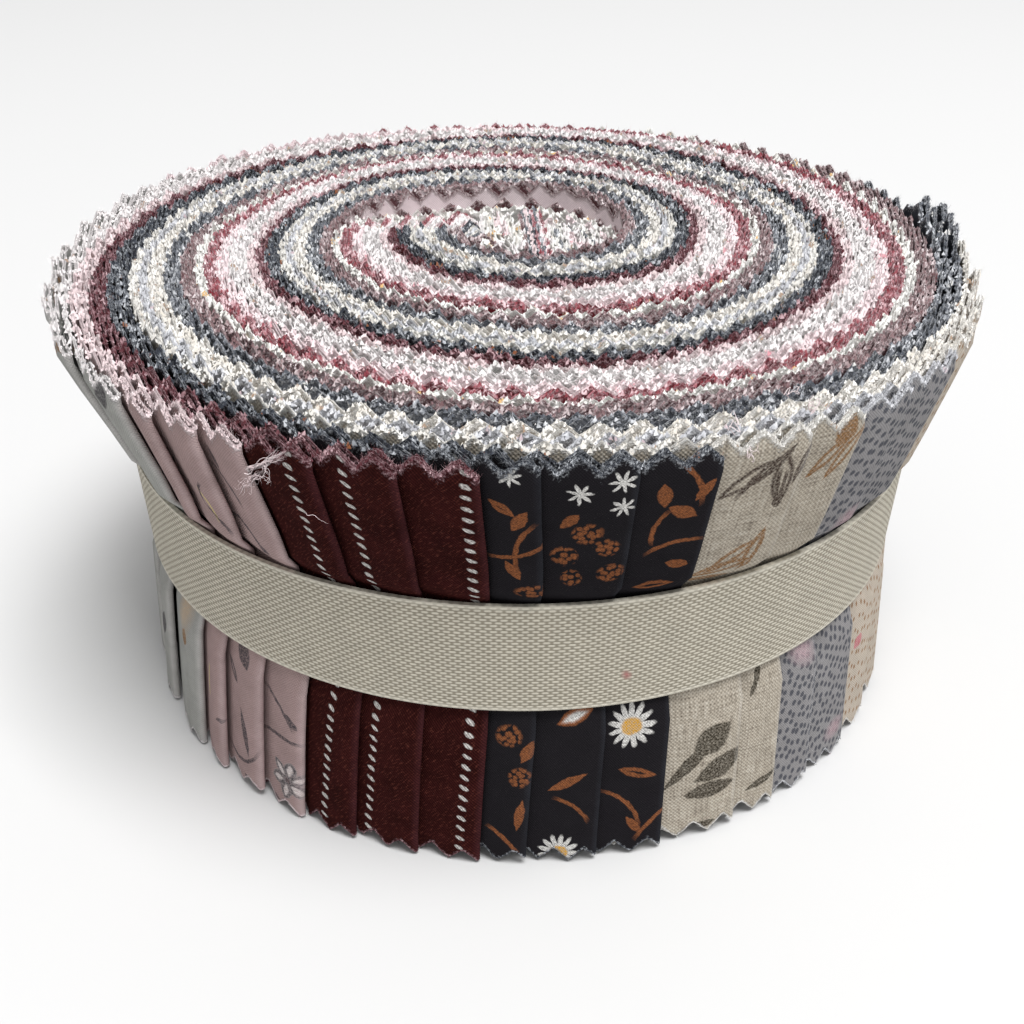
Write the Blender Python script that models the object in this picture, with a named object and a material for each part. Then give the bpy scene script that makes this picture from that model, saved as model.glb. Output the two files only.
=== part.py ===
"""Fabric strip roll.

Pinked cotton strips, each folded in half end to end, are wound together on their edges into
a roll that flares at the top, and a woven tape holds the roll round its waist.
Metres, +Z up. The roll stands on z = 0 with its axis through the origin. The front is -Y.
"""

import math

import bmesh
import bpy

# Driving sizes
STRIP_WIDTH = 0.0635
TOOTH_DEPTH = 0.0022
TURN_PITCH = 0.0200
CLEARANCE = 0.0003

TAPE_WIDTH = 0.0160
TAPE_THICKNESS = 0.0010
TAPE_BOTTOM_HEIGHT = 0.0244
TAPE_COLUMNS = 120
TAPE_LAP = 0.0260
TAPE_LAP_ANGLE = math.radians(90)
TAPE_LAP_COLUMNS = 8
TAPE_LAP_RAMP = math.radians(0.6)

# The roll's outline: height, radius at the fold crests, share of the fold relief that is left
OUTLINE = (
    ("base", 0.0000, 0.0578, 1.00),
    ("above the lower teeth", 0.0028, 0.0577, 1.00),
    ("lower body", 0.0130, 0.0571, 1.00),
    ("below the tape", 0.0205, 0.0566, 0.95),
    ("lower edge of the tape", 0.0244, 0.0552, 0.55),
    ("middle of the tape", 0.0325, 0.0556, 0.40),
    ("upper edge of the tape", 0.0405, 0.0560, 0.55),
    ("over the tape", 0.0430, 0.0582, 0.85),
    ("lower flare", 0.0475, 0.0597, 1.00),
    ("middle flare", 0.0550, 0.0622, 1.00),
    ("below the upper teeth", 0.0606, 0.0639, 1.00),
    ("rim", STRIP_WIDTH, 0.0639, 1.00),
)
BODY_SHIFT_X = 0.0011
FLARE_STARTS = 0.0405
BASE_REACH = 0.0130

# The folded ends, counterclockwise from the left of the front: cloth, strips, angle of its last
# fold in degrees, how proud its folds stand, how far its strips have slipped up at the rim,
# how far they stand out at the base
CLOTHS = (
    ("dusty pink floral", 3, -120.0, 0.0017, 0.0000, -0.0004),
    ("maroon twill", 3, -94.0, 0.0013, -0.0003, 0.0005),
    ("navy floral", 3, -70.0, 0.0010, 0.0000, 0.0000),
    ("beige linen", 2, -52.0, 0.0010, 0.0003, 0.0009),
    ("blue-grey dashes", 2, -35.5, 0.0011, 0.0002, 0.0008),
    ("cream dots", 4, 0.0, 0.0012, 0.0004, -0.0006),
    ("slate, slipped up", 2, 16.0, 0.0013, 0.0013, -0.0004),
    ("slate", 1, 27.0, 0.0013, 0.0000, -0.0004),
    ("plum", 4, 60.0, 0.0012, 0.0000, -0.0006),
    ("ivory", 2, 76.0, 0.0012, 0.0000, -0.0006),
    ("deep red", 4, 112.0, 0.0012, 0.0000, -0.0004),
    ("blush", 4, 150.0, 0.0012, 0.0003, -0.0006),
    ("light grey heather", 6, 218.0, 0.0017, 0.0000, -0.0005),
)
FIRST_FOLD_AT = -142.0

# Stations across the part of a strip that shows, from the fold of its neighbour to its own:
# share of the way, share of the fold relief by which it lies in, whether a tooth tip is there
STATIONS = (
    (0.02, 1.00, False),
    (0.27, 0.62, True),
    (0.52, 0.30, False),
    (0.77, 0.00, True),
    (0.98, 0.35, False),
)

# The winding, seen from above: bands of the stack that spiral in clockwise
CENTRE_SHIFT_X, CENTRE_SHIFT_Y = 0.0019, 0.0090
RIM_RINGS = ((0.0012, -1), (0.0030, 1))
WINDING_INSET = 0.0050
BANDS_PER_TURN = 4
BAND_RELIEF = 0.0010
SHORT_ROW = 0.25
HOLLOW_RADIUS = 0.0200
HOLLOW_WALL = 0.0024
HOLLOW_DEPTH = 0.0032
HEART_RADIUS = 0.0130
HEART_HEIGHT = 0.0020
CORE_RADIUS = 0.0070

# The underside
FOOT_INSET = 0.0030

# Shading
SHARP_ANGLE = math.radians(35)
LARGEST_FILLED_FACE = 50


def clear_scene():
    for thing in list(bpy.data.objects):
        bpy.data.objects.remove(thing, do_unlink=True)


def cloth_material(name, colour, roughness):
    material = bpy.data.materials.new(name)
    material.use_nodes = True
    shader = material.node_tree.nodes["Principled BSDF"]
    shader.inputs["Base Color"].default_value = (*colour, 1.0)
    shader.inputs["Roughness"].default_value = roughness
    shader.inputs["Metallic"].default_value = 0.0
    return material


def between(low, high, share):
    return low + (high - low) * share


def smooth_step(low, high, value):
    share = min(max((value - low) / (high - low), 0.0), 1.0)
    return share * share * (3.0 - 2.0 * share)


def side_columns():
    """Every column of the side, from the fold of one strip to the next. Each has an angle, how
    far it lies in from the crests, whether it is a tooth tip, its slip and its stand-out."""
    columns = []
    start = FIRST_FOLD_AT
    for _, strips, last_fold, relief, slip, stand_out in CLOTHS:
        step = (last_fold - start) / strips
        for strip in range(strips):
            first = start + strip * step
            for share, inward, tip in STATIONS:
                angle = math.radians(first + step * share)
                columns.append((angle, inward * relief, tip, slip, stand_out))
        start = last_fold
    return columns


def side_ring(columns, height, radius, relief_share, tooth):
    """The points of one level of the side. tooth lifts or lowers those between tooth tips. The
    body under the flare stands a little to the right of the rim."""
    shift = BODY_SHIFT_X * (1.0 - smooth_step(FLARE_STARTS, STRIP_WIDTH, height))
    base_share = 1.0 - smooth_step(0.0, BASE_REACH, height)
    points = []
    for angle, inward, tip, slip, stand_out in columns:
        r = radius - inward * relief_share + stand_out * base_share
        z = height if tip else height + tooth
        if tooth < 0.0:
            z += slip
        points.append((shift + r * math.cos(angle), r * math.sin(angle), z))
    return points


def body_point(angle, radius, height):
    """A point of the body under the flare."""
    return BODY_SHIFT_X + radius * math.cos(angle), radius * math.sin(angle), height


def winding_point(angle, radius):
    """A point of the winding from above. The turns close on a centre behind the axis."""
    inward = 1.0 - radius / OUTLINE[-1][2]
    x = CENTRE_SHIFT_X * inward + radius * math.cos(angle)
    y = CENTRE_SHIFT_Y * inward + radius * math.sin(angle)
    return x, y


def heart_height(radius):
    """The hollow in the middle, with the crumpled heart of the winding rising in it."""
    wall = 1.0 - smooth_step(HOLLOW_RADIUS - HOLLOW_WALL, HOLLOW_RADIUS, radius)
    heart = 1.0 - smooth_step(0.0, HEART_RADIUS, radius)
    return -HOLLOW_DEPTH * wall + HEART_HEIGHT * heart


def top_point(angle, radius, lift):
    x, y = winding_point(angle, radius)
    return x, y, STRIP_WIDTH - TOOTH_DEPTH / 2 + heart_height(radius) + lift


def rim_ring(columns, inset, side):
    """A ring behind the rim, where its folds and teeth fade into the winding. side is 1 where
    the tips are over those of the rim and -1 where the next strip's tips fill its valleys."""
    fade = 1.0 - inset / WINDING_INSET
    ridge = side * fade * TOOTH_DEPTH / 2
    points = []
    for angle, inward, tip, slip, _ in columns:
        radius = OUTLINE[-1][2] - inset - inward * fade
        points.append(top_point(angle, radius, (ridge if tip else -ridge) + slip * fade))
    return points


def add_ring(bm, points):
    return [bm.verts.new(point) for point in points]


def bridge(bm, lower, upper):
    count = len(lower)
    for i in range(count):
        j = (i + 1) % count
        bm.faces.new((lower[i], lower[j], upper[j], upper[i]))


def bridge_to_half(bm, outer, inner):
    """Joins a ring to one with half as many points."""
    count = len(inner)
    for i in range(count):
        a, b, c = (outer[(2 * i + 1 + step) % len(outer)] for step in range(3))
        bm.faces.new((a, b, inner[i]))
        bm.faces.new((b, inner[(i + 1) % count], inner[i]))
        bm.faces.new((b, c, inner[(i + 1) % count]))


def fill_winding(bm, outer, core, angles):
    """The top face from the ring behind the rim to the ring round the core, its rows following
    the turns. A row begins at the outer ring and ends at the core ring."""
    count = len(angles)
    rows_per_turn = 2 * BANDS_PER_TURN
    row_width = TURN_PITCH / rows_per_turn
    outer_radius = OUTLINE[-1][2] - WINDING_INSET
    width = outer_radius - CORE_RADIUS
    made = {}

    def corner(place, row):
        if place == count:
            place, row = 0, row - rows_per_turn
        inset = row_width * (row - rows_per_turn * place / count)
        if inset < row_width * SHORT_ROW:
            return outer[place]
        if inset > width - row_width * SHORT_ROW:
            return core[place]
        if (place, row) not in made:
            lift = BAND_RELIEF if row % 2 else -BAND_RELIEF
            made[place, row] = bm.verts.new(top_point(angles[place], outer_radius - inset, lift))
        return made[place, row]

    last_row = math.ceil(width / row_width) + rows_per_turn
    for place in range(count):
        for row in range(last_row):
            near = corner(place, row), corner(place + 1, row)
            far = corner(place + 1, row + 1), corner(place, row + 1)
            corners = tuple(dict.fromkeys(near + far))
            if len(corners) > 2:
                bm.faces.new(corners)


def finish_object(bm, name, material):
    faces = [face for face in bm.faces if len(face.verts) < LARGEST_FILLED_FACE]
    bmesh.ops.triangulate(bm, faces=faces)
    mesh = bpy.data.meshes.new(name)
    bm.to_mesh(mesh)
    bm.free()
    mesh.materials.append(material)
    thing = bpy.data.objects.new(name, mesh)
    bpy.context.scene.collection.objects.link(thing)
    mesh.shade_smooth()
    mesh.set_sharp_from_angle(angle=SHARP_ANGLE)
    return thing


def build_roll():
    bm = bmesh.new()
    columns = side_columns()
    angles = [column[0] for column in columns]

    foot = add_ring(bm, [body_point(a, OUTLINE[0][2] - FOOT_INSET, 0.0) for a in angles])
    bm.faces.new(foot[::-1])

    below = foot
    for place, (_, height, radius, relief_share) in enumerate(OUTLINE):
        tooth = 0.0
        if place == 0:
            tooth = TOOTH_DEPTH
        elif place == len(OUTLINE) - 1:
            tooth = -TOOTH_DEPTH
        ring = add_ring(bm, side_ring(columns, height, radius, relief_share, tooth))
        bridge(bm, below, ring)
        below = ring

    for inset, side in RIM_RINGS:
        ring = add_ring(bm, rim_ring(columns, inset, side))
        bridge(bm, below, ring)
        below = ring

    angles = angles[1::2]
    outer_radius = OUTLINE[-1][2] - WINDING_INSET
    outer = add_ring(bm, [top_point(a, outer_radius, 0.0) for a in angles])
    bridge_to_half(bm, below, outer)
    core = add_ring(bm, [top_point(a, CORE_RADIUS, 0.0) for a in angles])
    fill_winding(bm, outer, core, angles)

    angles = angles[1::2]
    inner = add_ring(bm, [top_point(a, CORE_RADIUS / 2, BAND_RELIEF / 2) for a in angles])
    bridge_to_half(bm, core, inner)
    middle = bm.verts.new(top_point(0.0, 0.0, 0.0))
    for i, corner in enumerate(inner):
        bm.faces.new((corner, inner[(i + 1) % len(inner)], middle))

    return finish_object(bm, "strip_roll", cloth_material("wound_cotton", (0.46, 0.38, 0.38), 0.92))


def roll_radius(height):
    """The radius at the fold crests at a height."""
    for (_, low, low_radius, _), (_, high, high_radius, _) in zip(OUTLINE, OUTLINE[1:]):
        if low <= height <= high:
            return between(low_radius, high_radius, (height - low) / (high - low))
    return OUTLINE[-1][2]


def build_tape():
    """The tape, a closed band whose ends lap at the back, where it is two layers thick."""
    bm = bmesh.new()
    levels = [TAPE_BOTTOM_HEIGHT, TAPE_BOTTOM_HEIGHT + TAPE_WIDTH]
    inner_radii = [roll_radius(z) + CLEARANCE for z in levels]
    half_lap = TAPE_LAP / 2 / inner_radii[0]

    angles = [TAPE_LAP_ANGLE + half_lap + TAPE_LAP_RAMP]
    rest = math.tau - 2 * (half_lap + TAPE_LAP_RAMP)
    angles += [angles[0] + rest * i / TAPE_COLUMNS for i in range(1, TAPE_COLUMNS + 1)]
    lap_step = 2 * half_lap / TAPE_LAP_COLUMNS
    lap_start = angles[-1] + TAPE_LAP_RAMP
    angles += [lap_start + lap_step * i for i in range(TAPE_LAP_COLUMNS + 1)]

    loops = []
    for angle in angles:
        turned = (angle - TAPE_LAP_ANGLE + math.pi) % math.tau - math.pi
        lapped = abs(turned) < half_lap + TAPE_LAP_RAMP / 2
        thickness = TAPE_THICKNESS * (2 if lapped else 1)
        section = [(r, z) for r, z in zip(inner_radii, levels)]
        section += [(r + thickness, z) for r, z in zip(inner_radii[::-1], levels[::-1])]
        loops.append(add_ring(bm, [body_point(angle, r, z) for r, z in section]))
    for i, loop in enumerate(loops):
        bridge(bm, loop, loops[(i + 1) % len(loops)])

    return finish_object(bm, "tape", cloth_material("woven_tape", (0.66, 0.61, 0.52), 0.88))


def main():
    clear_scene()
    build_roll()
    build_tape()


main()
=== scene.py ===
"""Looks of the fabric strip roll: every strip as its own wound ribbon of cloth, the fuzz of the
cut edges, the loose threads, the woven tape, the floor, the lights and the camera.

Lengths in this script are millimetres and angles are degrees, until a mesh is made in metres.
Angles run counterclockwise from +X, seen from above, and the front is at -90.
"""

import math
from functools import partialmethod

import bpy
import numpy as np
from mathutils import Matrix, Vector


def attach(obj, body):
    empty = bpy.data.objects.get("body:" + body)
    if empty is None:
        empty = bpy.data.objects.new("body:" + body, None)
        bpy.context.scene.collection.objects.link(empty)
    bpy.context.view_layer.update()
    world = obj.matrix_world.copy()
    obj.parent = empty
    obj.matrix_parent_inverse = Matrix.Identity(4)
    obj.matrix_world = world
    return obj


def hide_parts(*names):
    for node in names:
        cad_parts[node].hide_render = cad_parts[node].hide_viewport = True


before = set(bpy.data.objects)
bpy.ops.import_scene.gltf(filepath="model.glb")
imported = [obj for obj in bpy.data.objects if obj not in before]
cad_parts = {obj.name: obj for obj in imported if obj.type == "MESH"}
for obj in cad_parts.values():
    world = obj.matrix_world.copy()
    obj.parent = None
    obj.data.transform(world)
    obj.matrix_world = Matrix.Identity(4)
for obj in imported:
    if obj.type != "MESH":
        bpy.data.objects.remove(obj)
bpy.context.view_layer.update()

MM = 0.001
rng = np.random.default_rng(11)

# Driving sizes
STRIP_WIDTH = 63.5
TOOTH_DEPTH = 2.2
TOOTH_PITCH = 4.4
CLOTH_THICKNESS = 0.17
TURN_PITCH = 19.9

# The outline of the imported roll: height, radius at the fold crests, share of relief left
OUTLINE = (
    ("base", 0.0, 57.8, 1.00),
    ("above the lower teeth", 2.8, 57.7, 1.00),
    ("lower body", 13.0, 57.1, 1.00),
    ("below the tape", 20.5, 56.6, 0.95),
    ("lower edge of the tape", 24.4, 55.2, 0.55),
    ("middle of the tape", 32.5, 55.6, 0.40),
    ("upper edge of the tape", 40.5, 56.0, 0.55),
    ("over the tape", 43.0, 58.2, 0.85),
    ("lower flare", 47.5, 59.7, 1.00),
    ("middle flare", 55.0, 62.2, 1.00),
    ("below the upper teeth", 60.6, 63.9, 1.00),
    ("rim", STRIP_WIDTH, 63.9, 1.00),
)
HEIGHTS = np.array([row[1] for row in OUTLINE])
RADII = np.array([row[2] for row in OUTLINE])
SHARES = np.array([row[3] for row in OUTLINE])
RIM_RADIUS = RADII[-1]
BODY_RADIUS = RADII[2]
WAIST_HEIGHT = HEIGHTS[5]
FOOT_HEIGHT = HEIGHTS[3]
BODY_SHIFT_X = 1.1
FLARE_STARTS = 40.5

# By what share of a tooth's drop each level of a cut edge follows the teeth
TOOTH_SHARES = {0: -1.0, 1: -0.25, len(HEIGHTS) - 2: 0.25, len(HEIGHTS) - 1: 1.0}

# How the winding lies in the rim, across and from front to back: what the loose outer turns take
# up, how fast the turns close, and how their centre moves
LOOSE = (4.8, 1.9)
LOOSE_REACH = 4.0
CLOSING = (0.951, 1.04)
LOOSE_SHIFT = (1.3, -0.3)
CENTRE_DRIFT = (-0.039, 0.16)
LEAST_REACH = 0.3

# The middle of the winding: the stack's flush inner end, and the inner strips that have slipped
# down there, as the last plum strip's inner leaf and everything inside it
STACK_END_ANGLE = 106.0
DEEPEST = 58.6
MOST_TURNS = 5
SLIPPED_FROM = ("plum", 3)
SLIP_BEGINS = (-520.0, -880.0)
SLIP_SPAN = 80.0
LEAF_SLIP = 2.6
INNER_SLIP = 3.8

# The strips that stand up over the rim: their cloth, from which angle to which, and how far
STANDING = ("slate", -5.0, 11.5, 3.0)
STANDING_RAMPS = (3.0, 1.0)
RISE_REACH = 2.0

# The tooth tips lie a little below the strip's full width, and swell gently round the roll
TIPS_BELOW = 0.3
SWELL = 0.25
SWELLS_A_TURN = 3.0
SWELL_TWIST = 0.21

# The tape
TAPE_WIDTH = 16.0
TAPE_BOTTOM = 24.4
TAPE_CLEARANCE = 0.3
TAPE_THICKNESS = 0.6
TAPE_LAP = 26.0
TAPE_LAP_AT = 90.0
TAPE_LAP_RISE = 6.0
TAPE_LAP_GAP = 0.05
TAPE_STEP = 1.0
TAPE_LEVELS = 9
TAPE_SPECK_AT = 281.3


def rgb(red, green, blue):
    """A linear colour from one given in sRGB from 0 to 255."""
    values = [c / 255 for c in (red, green, blue)]
    return tuple(c / 12.92 if c <= 0.04045 else ((c + 0.055) / 1.055) ** 2.4 for c in values)


# The cloths, counterclockwise from the left of the front. room is how much of the radius one
# folded strip takes, relief how proud its folds stand, rise how far its teeth stand above the
# rim, and folds the angles of its folded ends at the waist
CLOTHS = (
    ("dusty_pink", 0.45, 1.7, 0.0, (-134.0, -126.0, -118.4)),
    ("maroon", 0.50, 1.3, -0.3, (-110.3, -101.8, -93.6)),
    ("navy", 0.72, 1.0, 0.0, (-87.5, -78.8, -70.3)),
    ("beige_linen", 0.50, 1.0, 0.3, (-59.5, -52.7)),
    ("blue_grey", 0.50, 1.1, 0.2, (-45.5, -35.5)),
    ("cream", 0.50, 1.2, 0.4, (-27.0, -18.0, -9.0, 0.0)),
    ("slate", 0.75, 1.3, -0.2, (8.0, 16.0, 27.0)),
    ("plum", 0.50, 1.2, 0.0, (35.0, 43.5, 52.0, 60.0)),
    ("ivory", 0.60, 1.2, 0.0, (68.0, 76.0)),
    ("deep_red", 0.45, 1.2, 0.0, (85.0, 94.0, 103.0, 112.0)),
    ("blush", 0.45, 1.2, 0.2, (121.5, 131.0, 140.5, 150.0)),
    ("heather", 0.45, 1.7, 0.0, (161.0, 172.0, 184.0, 196.0, 208.0, 220.0)),
)
STRIPS = tuple((cloth, angle) for cloth, row in enumerate(CLOTHS) for angle in row[4])
FOLD_ANGLES = np.array([angle for _, angle in STRIPS])
ROOMS = np.array([CLOTHS[cloth][1] for cloth, _ in STRIPS])
ROOMS *= TURN_PITCH / ROOMS.sum()
RELIEFS = np.array([CLOTHS[cloth][2] for cloth, _ in STRIPS])
STACK = np.cumsum(ROOMS)
NAMES = [row[0] for row in CLOTHS]
SLIPPED_STRIP = [cloth for cloth, _ in STRIPS].index(NAMES.index(SLIPPED_FROM[0])) + SLIPPED_FROM[1]

# How far the folds lean to the right at the rim and at the base, by angle round the roll
LEAN = (
    ("left", -140.0, 5.0, -2.5),
    ("pink", -130.0, 4.4, -1.6),
    ("pink and maroon", -118.4, 1.4, -2.0),
    ("maroon", -100.0, 1.2, -1.5),
    ("maroon and navy", -87.5, 0.3, -1.6),
    ("navy", -76.0, 1.1, -1.1),
    ("beige", -58.0, -0.2, -0.6),
    ("blue-grey", -45.5, 0.9, -0.6),
    ("cream", -33.0, 2.5, -0.8),
    ("right", -10.0, 1.0, -0.5),
    ("back", 90.0, 1.0, -0.5),
    ("far left", 190.0, 3.0, -1.5),
)


def smooth_step(low, high, value):
    share = np.clip((value - low) / (high - low), 0.0, 1.0)
    return share * share * (3.0 - 2.0 * share)


def round_table(angle, angles, values, gain=0.0):
    """Reads a table round the roll at any angle. gain is what one turn adds."""
    turns = np.floor((angle - angles[0]) / 360.0)
    angles = np.append(angles, angles[0] + 360.0)
    values = np.append(values, values[0] + gain)
    return np.interp(angle - 360.0 * turns, angles, values) + gain * turns


def stack_at(angle):
    """How much of the stack the outermost strip has under and before it at an angle."""
    return round_table(angle, FOLD_ANGLES, STACK, TURN_PITCH)


# Across the part of a strip that shows, from its neighbour's fold to its own: how far in it lies
CREST_STATIONS = (0.0, 0.25, 0.50, 0.77, 0.93, 1.0)
CREST_INSETS = (1.0, 0.62, 0.28, 0.00, 0.10, 0.32)
DEEP_RELIEF = 1.25
RELIEF_REACH = 6.0
FOLD_GAP = 0.5


def leaf_depths(strip, angle, inner):
    """How deep a leaf of a strip lies at the rim: the part due to the relief of the folds, and
    the part due to the strips over it. inner is 1 for the leaf under the fold, else 0."""
    room = ROOMS[strip]
    relief = RELIEFS[strip]
    covered = STACK[strip] - stack_at(angle)
    shown = np.clip(1.0 - covered / room, 0.0, 1.0)
    deep = np.maximum(covered - room, 0.0)
    local = round_table(angle, FOLD_ANGLES, RELIEFS)
    hidden = DEEP_RELIEF + (local - DEEP_RELIEF) * np.exp(-deep / RELIEF_REACH)
    inset = np.where(covered < room, relief * np.interp(shown, CREST_STATIONS, CREST_INSETS), hidden)
    if inner:
        gap = FOLD_GAP * relief * shown + room / 2 * (1.0 - shown)
        inset = inset + gap
    return inset, deep


def roll_point(angle, inset, deep, height, radius, share):
    """A point of a leaf at one height. radius and share are the outline's at that height."""
    fade = np.exp(-deep / RELIEF_REACH)
    table = np.array([row[1] for row in LEAN])
    top = round_table(angle, table, np.array([row[2] for row in LEAN]))
    foot = round_table(angle, table, np.array([row[3] for row in LEAN]))
    up = smooth_step(WAIST_HEIGHT, STRIP_WIDTH, height)
    down = smooth_step(WAIST_HEIGHT, 0.0, height)
    turned = np.radians(angle + fade * (up * top + down * foot))
    scale = radius / RIM_RADIUS
    loose = 1.0 - np.exp(-deep / LOOSE_REACH)
    body = BODY_SHIFT_X * (1.0 - smooth_step(FLARE_STARTS, STRIP_WIDTH, height))
    place = []
    for axis, direction in enumerate((np.cos(turned), np.sin(turned))):
        taken = scale * (LOOSE[axis] * loose + CLOSING[axis] * deep)
        reach = np.maximum(radius - inset * share - taken, LEAST_REACH)
        centre = scale * (LOOSE_SHIFT[axis] * loose + CENTRE_DRIFT[axis] * deep)
        place.append(centre + reach * direction)
    return place[0] + body * (1.0 - deep / RIM_RADIUS), place[1]


def slip_down(strip, angle, inner):
    """How far a leaf has slipped down near the middle of the winding."""
    if strip < SLIPPED_STRIP or (strip == SLIPPED_STRIP and not inner):
        return INNER_SLIP * smooth_step(-SLIP_BEGINS[1], SLIP_SPAN - SLIP_BEGINS[1], -angle)
    depth = LEAF_SLIP if strip == SLIPPED_STRIP else INNER_SLIP
    return depth * smooth_step(-SLIP_BEGINS[0], SLIP_SPAN - SLIP_BEGINS[0], -angle)


def top_height(angle, deep, strip, inner):
    """The height of the tooth tips of a leaf: its own rise, and the hollow in the middle."""
    rise = CLOTHS[STRIPS[strip][0]][3] * np.exp(-deep / RISE_REACH)
    if NAMES[STRIPS[strip][0]] == STANDING[0]:
        start, end, height = STANDING[1:]
        there = smooth_step(start, start + STANDING_RAMPS[0], angle)
        there = there - smooth_step(end, end + STANDING_RAMPS[1], angle)
        rise = rise + height * there * np.exp(-deep / RISE_REACH)
    swell = SWELL * np.sin(np.radians(SWELLS_A_TURN * angle) - deep * SWELL_TWIST)
    return STRIP_WIDTH - TIPS_BELOW + rise - slip_down(strip, angle, inner) + swell


def end_angle(strip):
    """The angle at which a strip ends: where the stack's flush end lies the last time before
    the strip would be too deep."""
    angle = STACK_END_ANGLE - 360.0 * np.arange(MOST_TURNS)
    deep = STACK[strip] - stack_at(angle)
    return angle[deep < DEEPEST][-1]


# The mesh of a ribbon of cloth. Near its fold it has all the levels and fine columns. Further in
# it has few levels, and columns at the tips and valleys of the teeth
FINE_LENGTH = 15.0
FINE_COLUMNS_PER_TOOTH = 8
COLUMNS_PER_TOOTH = 2
COARSE_LEVELS = (0, 4, 6, 10, 11)
NEAR_ANGLES = (30.0, 0.1)
FAR_STEP = 1.0
CLOSE = 0.01
NOSE_POINTS = 7

# How the teeth vary: their jitter near the fold and further in, how far they are pressed down
# inside the roll and over what length, and the largest shifts of a whole strip
EDGE_JITTER = (0.06, 0.22)
PRESSED = 0.2
TOOTH_REACH = 30.0
TOOTH_SHIFT = 0.12
STRIP_RISE = 0.25
STRIP_FOOT = 0.6
FOOT_SHARP = 2.5
PRINT_STEP = 13.0
CREASE_ANGLE = 50.0


class Cloth:
    """Gathers the vertices, faces and values of one piece, then makes its object."""

    def __init__(self):
        self.points = []
        self.prints = []
        self.finishes = []
        self.normals = []
        self.faces = {3: [], 4: []}
        self.count = 0

    def add(self, points, prints, finishes, normals=None):
        """Adds vertices with their place on the print (across, up, reverse side) and their finish:
        distance to a cut edge, tone and distance to the fold of a cloth (which sets its worn and
        painted-highlight crease), or nearness to the tip (which sets the painted shade of its fuzz),
        tone and chance of its fuzz. Returns their numbers in the input's shape."""
        if normals is not None:
            self.normals.append(normals.reshape(-1, 3))
        shape = points.shape[:-1]
        self.points.append(points.reshape(-1, 3))
        self.prints.append(prints.reshape(-1, 3).copy())
        self.finishes.append(finishes.reshape(-1, 3).copy())
        first = self.count
        self.count += len(self.points[-1])
        return np.arange(first, self.count).reshape(shape)

    def add_faces(self, *corners):
        corners = np.stack([np.asarray(c).ravel() for c in corners], axis=1)
        self.faces[corners.shape[1]].append(corners)

    def make(self, name, material):
        """The object, which rides on the roll's one body."""
        points = np.concatenate(self.points) * MM
        mesh = bpy.data.meshes.new(name)
        loops = []
        totals = []
        for size, groups in self.faces.items():
            if groups:
                corners = np.concatenate(groups)
                loops.append(corners.ravel())
                totals.append(np.full(len(corners), size))
        loops = np.concatenate(loops)
        totals = np.concatenate(totals)
        mesh.vertices.add(len(points))
        mesh.vertices.foreach_set("co", points.astype(np.float32).ravel())
        mesh.loops.add(len(loops))
        mesh.loops.foreach_set("vertex_index", loops.astype(np.int32))
        mesh.polygons.add(len(totals))
        starts = np.concatenate(([0], np.cumsum(totals)[:-1]))
        mesh.polygons.foreach_set("loop_start", starts.astype(np.int32))
        for label, values in (("print", self.prints), ("finish", self.finishes)):
            data = mesh.attributes.new(label, "FLOAT_VECTOR", "POINT").data
            data.foreach_set("vector", np.concatenate(values).astype(np.float32).ravel())
        mesh.update(calc_edges=True)
        mesh.validate()
        mesh.materials.append(material)
        thing = bpy.data.objects.new(name, mesh)
        bpy.context.scene.collection.objects.link(thing)
        mesh.shade_smooth()
        if self.normals:
            normals = np.concatenate(self.normals)
            normals /= np.linalg.norm(normals, axis=1, keepdims=True)
            mesh.normals_split_custom_set_from_vertices(normals)
        else:
            mesh.set_sharp_from_angle(angle=math.radians(CREASE_ANGLE))
        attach(thing, "root")
        return thing


def dense_leaf(strip, inner):
    """The path of a leaf from its fold inwards: angle, inset, depth and length so far."""
    fold = FOLD_ANGLES[strip]
    near = np.arange(0.0, *NEAR_ANGLES)
    far = np.arange(NEAR_ANGLES[0], fold - end_angle(strip), FAR_STEP)
    angle = fold - np.concatenate((near, far))
    inset, deep = leaf_depths(strip, angle, inner)
    x, y = roll_point(angle, inset, deep, STRIP_WIDTH, RIM_RADIUS, 1.0)
    steps = np.hypot(np.diff(x), np.diff(y))
    length = np.concatenate(([0.0], np.cumsum(steps)))
    return angle, inset, deep, length


def leaf_columns(strip, inner):
    """The columns of a leaf from its fold inwards: distance, angle, inset and depth. They fall
    on the tips and valleys of the teeth. Also says how many of them are fine, and the pitch."""
    angle, inset, deep, length = dense_leaf(strip, inner)
    pitch = length[-1] / round(length[-1] / TOOTH_PITCH)
    fine_step = pitch / FINE_COLUMNS_PER_TOOTH
    step = pitch / COLUMNS_PER_TOOTH
    fine = np.arange(fine_step, FINE_LENGTH, fine_step)
    fine_end = fine[-1] - fine[-1] % step
    fine = fine[fine <= fine_end + CLOSE]
    coarse = np.arange(fine_end + step, length[-1] + CLOSE, step)
    coarse = coarse[coarse <= length[-1]]
    along = np.concatenate((fine, coarse))
    columns = [np.interp(along, length, values) for values in (angle, inset, deep)]
    return along, columns, len(fine), pitch


def tooth_drop(along, pitch, fine, shift):
    """How far the cut edge lies below the tooth tips. A valley falls at the fold."""
    fade = np.exp(-along / TOOTH_REACH)
    phase = along / pitch + 0.5 + shift * fade
    jitter = rng.normal(0.0, 1.0, len(along)) * np.where(np.arange(len(along)) < fine, *EDGE_JITTER)
    depth = TOOTH_DEPTH * (1.0 - PRESSED * (1.0 - fade))
    return depth * 2.0 * np.abs(phase - np.round(phase)) + jitter


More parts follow.
